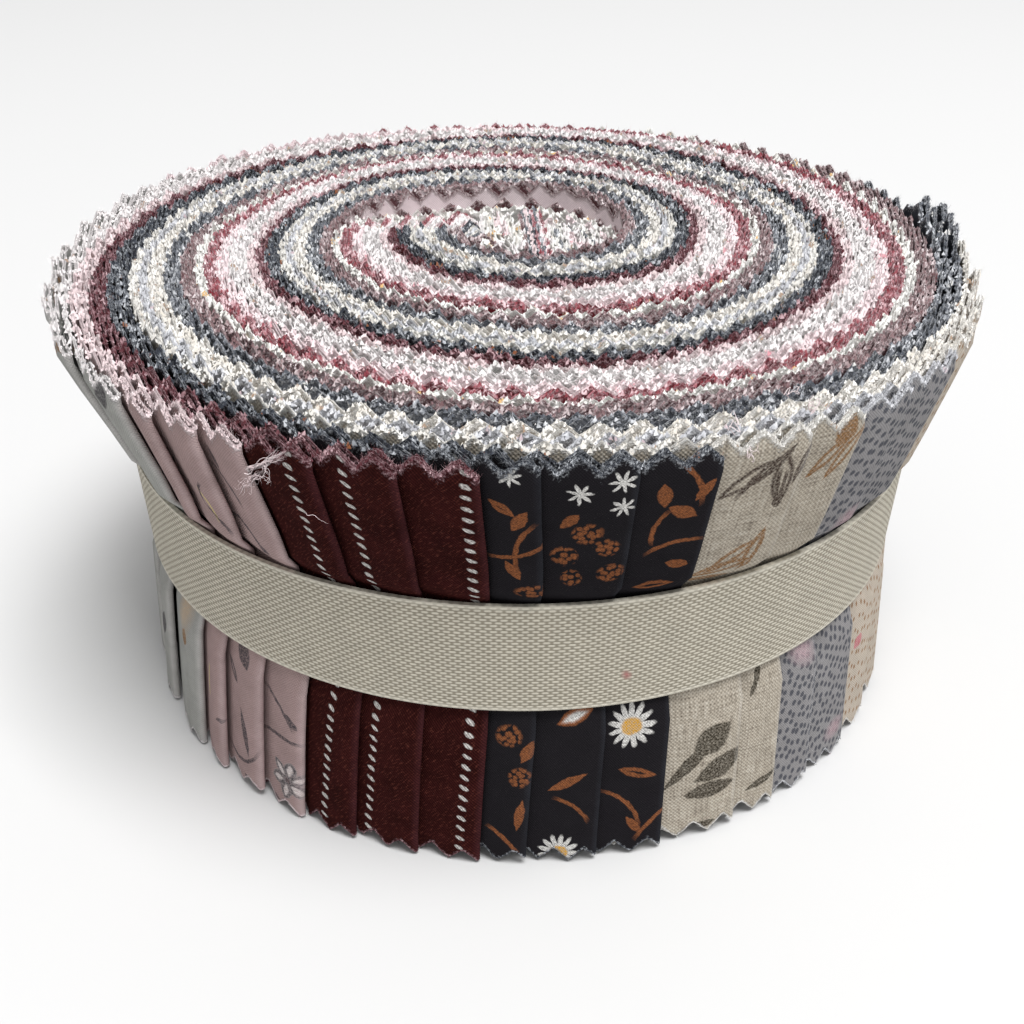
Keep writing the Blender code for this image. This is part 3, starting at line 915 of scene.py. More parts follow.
# The printed motifs of each cloth, on the part of its strips that shows. The columns are the kind,
# the ink, the strip, the middle across from the strip's left side and up from the base, the
# length, the width (of a stem, how far it bows) and the turn
MOTIFS = {
    "dusty_pink": (
        ("leaf", "soot", 3, 1.6, 57.2, 3.6, 1.2, 100.0),
        ("stem", "soot", 3, 2.6, 53.6, 6.0, 0.6, -56.0),
        ("stem", "soot", 3, 2.4, 46.0, 7.0, 1.2, -38.0),
        ("leaf", "soot", 3, 4.6, 43.4, 2.4, 0.9, -40.0),
        ("stem", "soot", 2, 4.0, 50.4, 4.2, 0.5, 70.0),
        ("stem", "pale_yellow", 2, 5.4, 48.6, 4.6, 0.6, -62.0),
        ("stem", "soot", 2, 6.2, 46.6, 4.6, 0.7, -48.0),
        ("leaf", "soot", 2, 4.2, 22.6, 4.6, 2.6, -50.0),
        ("petal", "soot", 2, 1.6, 18.6, 4.6, 1.5, -48.0),
        ("leaf", "soot", 2, 5.0, 9.8, 7.6, 1.3, -76.0),
        ("stem", "soot", 2, 4.2, 4.4, 7.8, -1.6, 20.0),
        ("leaf", "soot", 2, 6.1, 1.9, 3.0, 1.2, -20.0),
        ("leaf", "soot", 1, 5.4, 8.8, 2.0, 0.8, 10.0),
        ("stem", "pale_yellow", 1, 1.6, 14.0, 5.0, 0.3, 90.0),
        ("stem", "soot", 3, 3.6, 17.4, 6.5, 0.5, -35.0),
        ("leaf", "soot", 3, 5.7, 16.0, 2.8, 1.1, -40.0),
        ("stem", "soot", 3, 3.6, 12.4, 7.4, 0.4, 12.0),
        ("bloom", "pale_white", 3, 5.4, 5.9, 6.8, 6.8, 20.0),
        ("leaf", "soot", 3, 2.6, 1.0, 1.8, 0.9, 0.0),
    ),
    "navy": (
        ("star", "white", 2, 2.2, 58.6, 3.0, 3.0, 8.0),
        ("star", "white", 2, 6.6, 60.2, 3.0, 3.0, 24.0),
        ("star", "white", 2, 6.9, 56.6, 2.8, 2.8, 40.0),
        ("star", "white", 1, 2.6, 61.4, 2.6, 2.6, 12.0),
        ("berries", "rust", 2, 3.2, 52.6, 3.6, 3.0, 20.0),
        ("berries", "rust", 2, 5.6, 50.4, 3.2, 2.6, -15.0),
        ("berries", "rust", 2, 6.4, 46.2, 3.4, 2.8, 10.0),
        ("berries", "rust", 2, 1.6, 45.4, 2.6, 2.6, 0.0),
        ("leaf", "rust", 1, 3.4, 55.0, 3.6, 1.5, 60.0),
        ("stem", "rust", 1, 3.0, 51.0, 7.0, 0.8, 75.0),
        ("leaf", "rust", 1, 2.4, 47.0, 3.4, 1.4, 120.0),
        ("leaf", "rust", 3, 2.2, 57.2, 3.6, 1.7, 100.0),
        ("leaf", "rust", 3, 4.6, 54.6, 3.8, 1.8, -25.0),
        ("stem", "rust", 3, 5.6, 59.0, 6.0, 0.6, -62.0),
        ("leaf", "rust", 3, 6.6, 57.6, 3.4, 1.4, 58.0),
        ("stem", "rust", 3, 4.4, 49.8, 6.0, 0.7, 14.0),
        ("leaf", "rust", 3, 5.4, 46.2, 3.0, 1.4, -12.0),
        ("berries", "rust", 1, 2.4, 20.5, 3.4, 3.0, 0.0),
        ("berries", "rust", 1, 4.3, 14.4, 3.0, 3.0, 0.0),
        ("leaf", "rust", 1, 4.6, 8.4, 5.0, 1.3, 84.0),
        ("leaf", "rust", 1, 5.0, 18.4, 3.6, 1.7, 68.0),
        ("berries", "rust", 1, 4.8, 43.4, 4.4, 2.4, 0.0),
        ("stem", "rust", 1, 3.4, 49.6, 6.6, -0.6, 22.0),
        ("petal", "rust", 1, 1.6, 56.8, 3.6, 1.3, -40.0),
        ("berries", "rust", 2, 0.6, 49.0, 3.2, 3.0, 0.0),
        ("leaf", "rust", 2, 1.2, 54.6, 3.0, 1.4, 46.0),
        ("stem", "rust", 2, 4.6, 9.4, 5.6, 0.5, -36.0),
        ("stem", "rust", 3, 1.8, 52.4, 4.8, 0.5, 76.0),
        ("petal", "rust", 3, 3.2, 42.6, 5.0, 1.8, 8.0),
        ("petal", "rust", 2, 3.8, 22.8, 5.6, 2.0, 20.0),
        ("leaf", "white", 2, 3.8, 22.8, 4.8, 1.3, 20.0),
        ("leaf", "rust", 2, 3.4, 13.2, 6.2, 1.4, 27.0),
        ("daisy", "white", 3, 2.9, 20.6, 6.4, 6.4, 5.0),
        ("petal", "rust", 3, 4.2, 13.4, 5.4, 1.5, -16.0),
        ("stem", "rust", 3, 3.2, 8.6, 7.4, 1.1, -48.0),
        ("leaf", "rust", 3, 4.2, 5.0, 3.4, 1.2, -52.0),
        ("stem", "rust", 3, 6.6, 5.4, 6.0, 0.4, 44.0),
        ("daisy", "white", 2, 2.8, 1.8, 6.0, 6.0, 0.0),
        ("stem", "rust", 1, 2.8, 4.4, 5.0, 0.3, -42.0),
    ),
    "beige_linen": (
        ("petal", "umber", 1, 3.4, 57.4, 8.4, 2.3, 38.0),
        ("petal", "umber", 1, 5.4, 58.4, 8.2, 1.6, 46.0),
        ("petal", "umber", 1, 7.6, 56.4, 8.6, 2.8, 98.0),
        ("stem", "umber", 1, 7.2, 55.4, 5.6, 0.2, 100.0),
        ("stem", "umber", 1, 8.0, 55.0, 5.0, 0.2, 95.0),
        ("stem", "umber", 1, 4.4, 57.2, 6.4, 0.4, 44.0),
        ("leaf", "umber", 1, 7.9, 53.0, 2.0, 1.4, 98.0),
        ("petal", "umber", 1, 9.9, 58.2, 6.4, 1.3, 78.0),
        ("leaf", "ochre", 2, 3.6, 60.6, 4.6, 3.0, 70.0),
        ("petal", "ochre", 2, 2.4, 57.8, 8.0, 1.8, 52.0),
        ("petal", "ochre", 2, 4.6, 57.4, 8.2, 1.9, 62.0),
        ("petal", "ochre", 1, 3.0, 43.2, 8.6, 1.9, 12.0),
        ("petal", "ochre", 1, 4.2, 45.0, 8.2, 1.9, 38.0),
        ("petal", "ochre", 1, 6.8, 45.4, 7.6, 1.8, 78.0),
        ("petal", "ochre", 1, 1.8, 41.2, 7.4, 1.0, -4.0),
        ("leaf", "olive", 1, 3.2, 12.6, 10.8, 2.0, 46.0),
        ("leaf", "olive", 1, 6.0, 15.6, 6.4, 4.4, 40.0),
        ("leaf", "olive", 1, 7.6, 11.0, 8.4, 3.4, 24.0),
        ("leaf", "olive", 1, 6.2, 7.6, 7.6, 2.6, 4.0),
        ("leaf", "olive", 1, 4.6, 1.6, 5.6, 1.7, 12.0),
        ("petal", "olive", 2, 3.6, 5.2, 6.4, 1.2, 16.0),
        ("leaf", "olive", 2, 1.6, 22.8, 3.6, 1.0, 74.0),
        ("leaf", "olive", 2, 0.8, 21.0, 3.0, 0.9, 60.0),
    ),
    "blue_grey": (
        ("blur", "pale_rose", 1, 5.0, 43.6, 4.0, 3.0, 20.0),
        ("blur", "pale_rose", 1, 3.4, 22.6, 4.6, 3.0, -20.0),
        ("blur", "pale_rose", 2, 5.6, 5.0, 4.0, 2.6, 10.0),
    ),
    "cream": (
        ("leaf", "rose", 1, 3.2, 15.4, 2.6, 2.0, 50.0),
        ("leaf", "rose", 2, 4.6, 33.0, 2.4, 1.8, 30.0),
        ("leaf", "rose", 3, 2.6, 50.0, 2.6, 2.0, 60.0),
        ("leaf", "rose", 4, 4.6, 12.0, 2.6, 2.0, 40.0),
    ),
    "heather": (
        ("leaf", "soot", 6, 8.8, 60.6, 5.4, 3.0, 80.0),
        ("leaf", "ochre", 6, 2.8, 62.4, 3.4, 2.6, 60.0),
        ("leaf", "ochre", 5, 10.6, 62.2, 3.6, 2.4, 50.0),
        ("leaf", "ochre", 6, 6.6, 17.5, 3.2, 2.6, 80.0),
        ("blur", "tan", 6, 6.4, 22.6, 7.0, 5.0, 80.0),
        ("leaf", "soot", 5, 9.5, 14.0, 4.6, 2.2, 80.0),
        ("leaf", "ochre", 5, 7.0, 60.0, 5.0, 2.6, 30.0),
        ("leaf", "ochre", 4, 7.0, 60.2, 4.4, 2.2, 40.0),
        ("leaf", "soot", 4, 4.6, 22.0, 7.0, 2.6, 60.0),
        ("leaf", "ochre", 3, 3.4, 44.0, 5.0, 1.6, 110.0),
        ("leaf", "soot", 3, 7.4, 56.0, 5.0, 1.8, 50.0),
        ("leaf", "soot", 3, 4.6, 14.0, 6.0, 2.0, 70.0),
        ("leaf", "ochre", 2, 5.4, 52.0, 5.0, 1.6, 40.0),
        ("leaf", "soot", 2, 7.4, 18.0, 6.0, 2.0, 120.0),
        ("leaf", "soot", 1, 4.4, 48.0, 6.0, 2.0, 60.0),
        ("leaf", "ochre", 1, 6.4, 12.0, 5.0, 1.6, 30.0),
    ),
    "slate": (
        ("daisy", "white", 2, 4.0, 49.0, 4.0, 4.0, 0.0),
        ("daisy", "white", 3, 5.4, 14.0, 4.0, 4.0, 12.0),
        ("daisy", "white", 1, 3.8, 10.0, 4.0, 4.0, 20.0),
    ),
    "ivory": (
        ("leaf", "olive", 1, 3.6, 52.0, 5.0, 1.8, 50.0),
        ("leaf", "ochre", 2, 3.6, 46.0, 4.4, 1.6, 120.0),
        ("leaf", "olive", 2, 4.0, 12.0, 5.0, 1.8, 30.0),
    ),
    "deep_red": (
        ("daisy", "white", 1, 4.4, 54.0, 3.6, 3.6, 0.0),
        ("daisy", "white", 1, 3.0, 17.0, 3.2, 3.2, 20.0),
        ("daisy", "white", 2, 4.0, 11.0, 3.6, 3.6, 9.0),
        ("daisy", "white", 2, 6.0, 46.0, 3.2, 3.2, 5.0),
        ("daisy", "white", 3, 4.6, 48.0, 3.6, 3.6, 14.0),
        ("daisy", "white", 3, 2.6, 57.0, 3.2, 3.2, 8.0),
        ("daisy", "white", 3, 5.4, 8.0, 3.2, 3.2, 11.0),
        ("daisy", "white", 4, 4.2, 15.0, 3.6, 3.6, 4.0),
        ("daisy", "white", 4, 5.6, 52.0, 3.2, 3.2, 16.0),
    ),
    "blush": (
        ("leaf", "soot", 1, 4.0, 12.0, 5.0, 1.2, 60.0),
        ("petal", "rose", 2, 4.4, 52.0, 5.0, 1.8, 40.0),
        ("leaf", "soot", 3, 4.0, 47.0, 5.0, 1.2, 110.0),
        ("petal", "rose", 4, 4.4, 14.0, 5.0, 1.8, 70.0),
        ("stem", "soot", 1, 4.6, 52.0, 7.0, 1.0, 64.0),
        ("leaf", "soot", 1, 2.6, 49.0, 3.4, 1.1, 20.0),
        ("stem", "soot", 2, 4.0, 15.0, 7.0, 1.0, 100.0),
        ("leaf", "soot", 2, 6.0, 12.0, 3.4, 1.1, 40.0),
        ("petal", "rose", 3, 5.6, 16.0, 4.4, 1.8, 30.0),
        ("stem", "soot", 4, 4.6, 50.0, 7.0, 1.0, 80.0),
        ("leaf", "soot", 4, 6.6, 55.0, 3.4, 1.1, 50.0),
    ),
}

# The width of printed lines, and how strong the ink is where it is thin and where it is full
LINE = 0.58
INK_STRENGTH = (0.42, 1.0)

# How soft the edges of the motifs are
SOFTNESS = {
    "leaf": 0.10,
    "petal": 0.12,
    "stem": 0.25,
    "star": 0.10,
    "daisy": 0.08,
    "disc": 0.12,
    "berries": 0.12,
    "blur": 0.60,
}

# Motifs with rays: how many, how deep the gaps between them are, and how pointed they are
RAYS = {
    "star": (7, 0.72, 2.0),
    "daisy": (13, 0.55, 0.9),
}
DAISY_MIDDLE = (0.44, 0.38)

# A line-drawn flower: its petals, how far out they lie, their length and width and the size of
# its middle, as shares of its length
BLOOM_PETALS = 6
BLOOM_REACH = 0.28
BLOOM_PETAL = (0.46, 0.30)
BLOOM_MIDDLE = 0.24

# Clusters of berries: pitch, how unevenly they lie, and their radius
BERRIES = (0.72, 0.85, 0.46)

# The small all-over dots of two cloths: ink, pitch, stretch, turn and the size of a dot
DOTS = {
    "blue_grey": ("ink_grey", 1.28, (0.95, 1.10), -24.0, 0.31),
    "cream": ("ochre", 1.45, (0.80, 1.30), -20.0, 0.19),
}
DOT_UNEVENNESS = 0.5
DOT_SOFTNESS = 0.07
DOT_STRENGTH = 0.85

# The rows of slanted dashes of the maroon cloth: strip, and how far across it they run at the
# base and at the rim
DASH_ROWS = (
    (1, 2.6, 5.4),
    (2, 0.6, 2.4),
    (3, 5.2, 6.6),
)
DASH_PITCH = 1.65
DASH_LENGTH = 0.60
DASH_SLANT = 0.40
DASH_WIDTH = 0.32
DASH_SOFTNESS = 0.35
DASH_STRENGTH = (0.30, 0.80)

# The noises of the cloths: scale, detail and roughness, and the ranges of them that are used
DAPPLES = (3.6, 3.0, 0.7)
WEAR = (2.6, 2.0, 0.6)
CLOUDS = (0.22, 3.0, 0.6)
PATCHES = (0.25, 3.0, 0.6)
GRAINS = (3.4, 2.0, 0.6)
NUBS = (2.2, 3.0, 0.75)
FUZZ_PATCHES = (0.5, 2.0, 0.7)
TAPE_PATCHES = (0.35, 3.0, 0.6)
NOISE_RANGE = (0.3, 0.7)
DAPPLE_RANGE = (0.36, 0.60)
WEAR_RANGE = (0.3, 0.6)
FUZZ_RANGE = (0.34, 0.66)


def ray_shape(shader, spot, rays, depth, power):
    """A round shape with rays, such as a star or a daisy, in a frame where its radius is 1."""
    x, y, _ = shader.split(spot)
    turn = shader.times(shader.number_math("ARCTAN2", y, x), rays / 2)
    ray = shader.power(shader.size(shader.number_math("COSINE", turn)), power)
    reach = shader.scaled(ray, 0.0, 1.0, 1.0 - depth, 1.0)
    return shader.over(shader.length(spot), reach)


def motif_mask(shader, vector, kind, x, z, length, width, turn):
    """1 inside a motif, 0 outside."""
    half = length / 2
    soft = SOFTNESS[kind]
    if kind == "stem":
        across, up, _ = shader.split(shader.local(vector, x, z, turn, (half, half)))
        bow = shader.times(shader.times(across, across), width / half)
        line = shader.size(shader.plus(up, bow))
        line = shader.over(line, LINE / 2 / half)
        return shader.below(shader.larger(line, shader.size(across)), 1.0, soft)
    spot = shader.local(vector, x, z, turn, (half, width / 2))
    if kind in ("leaf", "petal"):
        across, up, _ = shader.split(spot)
        value = shader.plus(shader.times(across, across), shader.size(up))
        if kind == "leaf":
            return shader.below(value, 1.0, soft)
        line = shader.size(shader.minus(value, 1.0 - LINE / width))
        return shader.below(line, LINE / width, soft)
    if kind in RAYS:
        return shader.below(ray_shape(shader, spot, *RAYS[kind]), 1.0, soft)
    inside = shader.below(shader.length(spot), 1.0, soft)
    if kind in ("blur", "disc"):
        return inside
    pitch, unevenness, radius = BERRIES
    berry = shader.below(shader.voronoi(vector, 1.0 / pitch, unevenness), radius, soft)
    return shader.times(inside, berry)


def bloom_parts(x, z, length, turn):
    """The petals of a line-drawn flower, white with dark outlines, and its dark middle."""
    parts = []
    reach = BLOOM_REACH * length
    sizes = [share * length for share in BLOOM_PETAL]
    for petal in range(BLOOM_PETALS):
        angle = turn + petal * 360.0 / BLOOM_PETALS
        middle_x = x + reach * math.cos(math.radians(angle))
        middle_z = z + reach * math.sin(math.radians(angle))
        for kind, ink in (("leaf", "pale_white"), ("petal", "soot")):
            parts.append((kind, ink, middle_x, middle_z, *sizes, angle))
    middle = BLOOM_MIDDLE * length
    parts.append(("blur", "soot", x, z, middle, middle, 0.0))
    return parts


def print_motifs(shader, name, vector, colour):
    """Prints a cloth's motifs on its colour, ink by ink, and the yellow middles of its daisies."""
    parts = []
    for kind, ink, strip, x, z, length, width, turn in MOTIFS.get(name, ()):
        x += (strip - 1) * PRINT_STEP
        if kind == "bloom":
            parts += bloom_parts(x, z, length, turn)
        else:
            parts.append((kind, ink, x, z, length, width, turn))
        if kind == "daisy":
            long, wide = DAISY_MIDDLE
            parts.append(("disc", "yellow", x, z, long * length, wide * width, turn))
    masks = {}
    for kind, ink, *sizes in parts:
        masks.setdefault(ink, []).append(motif_mask(shader, vector, kind, *sizes))
    dapple = shader.scaled(shader.noise(vector, *DAPPLES), *DAPPLE_RANGE, *INK_STRENGTH)
    for ink in INKS:
        if ink in masks:
            mask = masks[ink][0]
            for other in masks[ink][1:]:
                mask = shader.larger(mask, other)
            colour = shader.mix(shader.times(mask, dapple), colour, INKS[ink])
    return colour


def print_dots(shader, name, vector, colour):
    ink, pitch, stretch, turn, size = DOTS[name]
    cells = shader.local(vector, 0.0, 0.0, turn, stretch)
    dot = shader.below(shader.voronoi(cells, 1.0 / pitch, DOT_UNEVENNESS), size, DOT_SOFTNESS)
    return shader.mix(shader.times(dot, DOT_STRENGTH), colour, INKS[ink])


def print_dashes(shader, vector, colour):
    """The maroon cloth's rows of slanted stitches."""
    x, z, _ = shader.split(vector)
    total = None
    for strip, foot, head in DASH_ROWS:
        middle = shader.scaled(z, 0.0, STRIP_WIDTH, foot, head)
        middle = shader.plus(middle, (strip - 1) * PRINT_STEP)
        side = shader.minus(x, middle)
        climb = shader.plus(z, shader.times(side, DASH_SLANT))
        step = shader.minus(shader.number_math("PINGPONG", climb, DASH_PITCH / 2), DASH_PITCH / 2)
        side = shader.over(side, DASH_LENGTH)
        step = shader.over(step, DASH_WIDTH)
        spread = shader.plus(shader.power(side, 2.0), shader.power(step, 2.0))
        mask = shader.below(spread, 1.0, DASH_SOFTNESS)
        total = mask if total is None else shader.larger(total, mask)
    worn = shader.scaled(shader.noise(vector, *WEAR), *WEAR_RANGE, *DASH_STRENGTH)
    return shader.mix(shader.times(total, worn), colour, INKS["white"])


# The weaves: thread pitches, their depth with that of the grain, and how dark and pale they get,
# as painted shade in the dips of the weave and as the mottle of the grain
PLAIN_PITCH = 0.38
TWILL_PITCH = 0.46
LINEN_PITCH = 0.55
WEAVE_DEPTH = 0.035
GRAIN_SHARE = 1.6
GRAIN_RANGE = (-0.6, 2.2)
GRAIN_AND_WEAVE_SHADE = {
    "plain": (0.74, 1.18),
    "twill": (0.62, 1.30),
    "linen": (0.56, 1.32),
}

# How hand-drawn the prints look: how far their lines stray, and the scale of it
HAND_DRAWN = (0.45, 1.1)

# The slubs of linen: their size, the colour of the pale ones, and from which value of the noise
# to which the pale ones gather and the dark ones fade, with their strengths at both
SLUB_SIZE = (3.2, 0.28)
SLUB_COLOUR = rgb(206, 200, 188)
PALE_SLUBS = (1.00, 1.30, 0.0, 0.60)
DARK_SLUBS = (0.66, 0.98, 0.55, 0.0)

# The uneven dye of the maroon cloth: its shades, the turn and size of its flecks, and from which
# value of the noise to which they gather, with their strengths at both
CLOUD_SHADES = (0.72, 1.30)
DYE_FLECK = (45.0, (0.9, 0.22))
DYE_FLECKS = (0.55, 0.72, 0.0, 0.45)

# The patches of a cloth, its folds lightened partly as wear and partly as a painted highlight
# where the crease catches the light, and its frayed cut edges
PATCH_SHADES = (0.90, 1.08)
CREASE_REACH = (0.10, 1.20)
CREASE_WEAR_AND_HIGHLIGHT = 0.36
CREASE_PATCHES = (0.4, 1.0)
FRAY_DEPTH = 0.5
FRAY_REACH = (0.25, 1.0)
FRAY_SOFTNESS = 0.6

# How the surfaces take light: roughness, sheen and specular
COTTON_FINISH = (0.95, 0.0, 0.03)
FUZZ_FINISH = (1.0, 0.0, 0.0)
TAPE_FINISH = (0.9, 0.05, 0.15)
FLOOR_FINISH = (0.9, 0.0, 0.2)


def weave_height(shader, vector, weave):
    """The relief of a weave, about from -1 to 1."""
    x, z, _ = shader.split(vector)
    if weave == "twill":
        return shader.wave(shader.plus(x, z), TWILL_PITCH)
    pitch = LINEN_PITCH if weave == "linen" else PLAIN_PITCH
    return shader.times(shader.wave(x, pitch), shader.wave(z, pitch))


def add_slubs(shader, place, colour):
    """The pale and the dark slubs of linen, along both ways of its threads."""
    slub = shader.noise(shader.local(place, 0.0, 0.0, 0.0, SLUB_SIZE), 1.0, 3.0)
    warp = shader.noise(shader.local(place, 0.0, 0.0, 0.0, SLUB_SIZE[::-1]), 1.0, 3.0)
    slub = shader.plus(slub, warp)
    colour = shader.mix(shader.scaled(slub, *PALE_SLUBS), colour, SLUB_COLOUR)
    return shader.mix(shader.scaled(slub, *DARK_SLUBS), colour, INKS["umber"])


def add_clouds(shader, place, colour):
    """The uneven dye of the maroon cloth, with brown flecks along its twill."""
    clouds = shader.scaled(shader.noise(place, *CLOUDS), *NOISE_RANGE, *CLOUD_SHADES)
    colour = shader.shaded(colour, clouds)
    flecks = shader.noise(shader.local(place, 0.0, 0.0, *DYE_FLECK), 1.0, 2.0)
    return shader.mix(shader.scaled(flecks, *DYE_FLECKS), colour, INKS["brown"])


def cloth_material(name):
    """A printed cotton: its print and weave, its paler reverse, and its frayed cut edge."""
    face, reverse, edge, _, weave = LOOKS[name]
    shader = Shader(f"cotton_{name}")
    place = shader.attribute("print")
    finish = shader.split(shader.attribute("finish"))
    vector = shader.warped(place, *HAND_DRAWN)

    colour = face
    if weave == "linen":
        colour = add_slubs(shader, place, colour)
    if name == "maroon":
        colour = add_clouds(shader, place, colour)
        colour = print_dashes(shader, vector, colour)
    if name in DOTS:
        colour = print_dots(shader, name, vector, colour)
    colour = print_motifs(shader, name, vector, colour)

    patches = shader.noise(place, *PATCHES)
    relief = weave_height(shader, place, weave)
    grain = shader.noise(place, *GRAINS)
    height = shader.plus(relief, shader.times(grain, GRAIN_SHARE))
    # Painted shade: darker in the dips of the weave, together with the mottle of the grain
    shade = shader.scaled(height, *GRAIN_RANGE, *GRAIN_AND_WEAVE_SHADE[weave])
    shade = shader.times(shade, shader.scaled(patches, *NOISE_RANGE, *PATCH_SHADES))
    _, _, side = shader.split(place)
    colour = shader.mix(side, colour, reverse)
    colour = shader.shaded(colour, shade)
    # Near the fold the colour turns to the edge's: partly wear, partly a painted highlight
    crease = shader.scaled(finish[2], *CREASE_REACH, CREASE_WEAR_AND_HIGHLIGHT, 0.0)
    crease = shader.times(crease, shader.scaled(patches, *NOISE_RANGE, *CREASE_PATCHES))
    colour = shader.mix(crease, colour, edge)

    nubs = shader.noise(place, *NUBS)
    reach = shader.scaled(nubs, *NOISE_RANGE, *FRAY_REACH)
    near = shader.below(shader.over(finish[0], reach), 1.0, FRAY_SOFTNESS)
    ends = frayed_colour(shader, name, shader.scaled(nubs, *NOISE_RANGE, 0.0, 1.0))
    colour = shader.mix(near, colour, ends)
    shader.finish(colour, *COTTON_FINISH)
    fray = shader.times(shader.times(near, nubs), FRAY_DEPTH)
    shader.bump(shader.plus(shader.times(height, WEAVE_DEPTH), fray))
    return shader.material


def frayed_colour(shader, name, chance):
    """The colour of the yarn ends of a cut edge, from the darkest to the palest. The darkest have
    the printed colour on a dark cloth, and the colour of the reverse on a pale one."""
    face, reverse, edge, pale, _ = LOOKS[name]
    darkest = face if max(face) < DARK_CLOTH else reverse
    colour = shader.mix(shader.scaled(chance, *EDGE_CHANCES, 0.0, 1.0), darkest, edge)
    return shader.mix(shader.scaled(chance, *PALE_CHANCES, 0.0, 1.0), colour, pale)


# The printed yarn ends that show as flecks among the fuzz: the ink of each cloth, their noise,
# the values of it at which they begin and are full, and their strength
FLECKS = {
    "navy": "rust",
    "beige_linen": "ochre",
    "cream": "ochre",
    "blue_grey": "pale_rose",
    "ivory": "yellow",
    "blush": "rose",
    "heather": "ochre",
    "slate": "white",
}
FLECK_NOISE = (0.45, 1.0, 0.3)
FLECK_RANGE = (0.68, 0.70)
FLECK_STRENGTH = 0.75

# The fuzz: over which chances its colour turns from the darkest to the edge's and then to the
# palest, how much of the chance comes from patches, from what brightness a cloth isn't dark,
# the painted shade of its ends from root to tip, and their tone from strip to strip
EDGE_CHANCES = (0.0, 0.45)
PALE_CHANCES = (0.42, 0.88)
PATCH_SHARE = 0.68
DARK_CLOTH = 0.2
FUZZ_SOFTNESS = 0.65
TIP_PAINTED_SHADES = (0.88, 1.04)
TONE_SHADES = (0.94, 1.05)


def fuzz_material(name):
    """The loose yarn ends of a cut edge: paler and darker ends, and painted shade down between them."""
    shader = Shader(f"fuzz_{name}")
    tip, tone, chance = shader.split(shader.attribute("finish"))
    patch = shader.noise(shader.attribute("print"), *FUZZ_PATCHES)
    patch = shader.scaled(patch, *FUZZ_RANGE, 0.0, PATCH_SHARE)
    chance = shader.plus(shader.times(chance, 1.0 - PATCH_SHARE), patch)
    colour = frayed_colour(shader, name, chance)
    if name in FLECKS:
        spots = shader.noise(shader.attribute("print"), *FLECK_NOISE)
        spots = shader.scaled(spots, *FLECK_RANGE, 0.0, FLECK_STRENGTH)
        colour = shader.mix(spots, colour, INKS[FLECKS[name]])
    # Painted shade: each end darker down at its root, where the ends crowd, lighter at its tip
    shade = shader.scaled(tip, 0.0, 1.0, *TIP_PAINTED_SHADES)
    shade = shader.times(shade, shader.scaled(tone, -1.0, 1.0, *TONE_SHADES))
    colour = shader.shaded(colour, shade)
    shader.finish(colour, *FUZZ_FINISH)
    shader.soften(FUZZ_SOFTNESS)
    return shader.material


# The weave of the tape: a cell's length and height, how its rows stray and by what scale, the
# relief of a cell along it, the size and share of its fine threads, and the depth of it all
TAPE_CELL = (1.2, 0.43)
TAPE_STRAY = (0.12, 0.9)
CELL_RELIEF = (-0.9, 0.4, 0.15, 1.0)
FINE_THREAD = (0.9, 0.2)
FINE_SHARE = 0.5
TAPE_DEPTH = 0.10

# The colours between the cells, darker there as painted shade, and on them, over which relief
# they turn, and their shades
TAPE_GAP_SHADE_AND_CELL_COLOURS = (rgb(136, 129, 114), rgb(206, 200, 185))
COLOUR_RELIEF = (0.05, 0.70)
TAPE_SHADES = (0.94, 1.05)
FINE_SHADES = (0.2, 0.8, 0.93, 1.06)

# The selvedges: where they begin and are full, in from the edge, and their strength. The speck:
# its place, turn, size, reach and softness
SELVEDGE = (0.7, 0.3)
SELVEDGE_COLOUR = rgb(218, 213, 199)
SELVEDGE_STRENGTH = 0.5
TAPE_SPECK = (1.6, 4.6, 30.0, (0.8, 1.1))
SPECK_EDGE = (0.5, 0.4)


def tape_material():
    """Unbleached cotton tape: rows of long cells like bricks, and close selvedges."""
    shader = Shader("tape_weave")
    place = shader.attribute("print")
    x, z, _ = shader.split(shader.warped(place, *TAPE_STRAY))
    length, height = TAPE_CELL
    row = shader.number_math("FLOOR", shader.over(z, height))
    offset = shader.times(shader.number_math("MODULO", row, 2.0), length / 2)
    across = shader.wave(shader.plus(x, offset), length)
    up = shader.size(shader.sine(shader.times(z, math.pi / height)))
    cell = shader.times(shader.scaled(across, *CELL_RELIEF), up)
    fine = shader.noise(shader.local(place, 0.0, 0.0, 0.0, FINE_THREAD), 1.0, 2.0)
    relief = shader.plus(cell, shader.times(fine, FINE_SHARE))
    # Painted shade: the gaps between the cells darker than the cells' tops
    colour = shader.mix(shader.scaled(cell, *COLOUR_RELIEF, 0.0, 1.0), *TAPE_GAP_SHADE_AND_CELL_COLOURS)
    shade = shader.scaled(shader.noise(place, *TAPE_PATCHES), *NOISE_RANGE, *TAPE_SHADES)
    shade = shader.times(shade, shader.scaled(fine, *FINE_SHADES))
    colour = shader.shaded(colour, shade)
    off_middle = shader.size(shader.minus(z, TAPE_WIDTH / 2))
    selvedge = [TAPE_WIDTH / 2 - inset for inset in SELVEDGE]
    selvedge = shader.scaled(off_middle, *selvedge, 0.0, SELVEDGE_STRENGTH)
    colour = shader.mix(selvedge, colour, SELVEDGE_COLOUR)
    speck = shader.length(shader.local(place, *TAPE_SPECK))
    colour = shader.mix(shader.below(speck, *SPECK_EDGE), colour, INKS["dull_rose"])
    shader.finish(colour, *TAPE_FINISH)
    shader.bump(shader.times(relief, TAPE_DEPTH))
    return shader.material


def roll_radius(height):
    return np.interp(height, HEIGHTS, RADII)


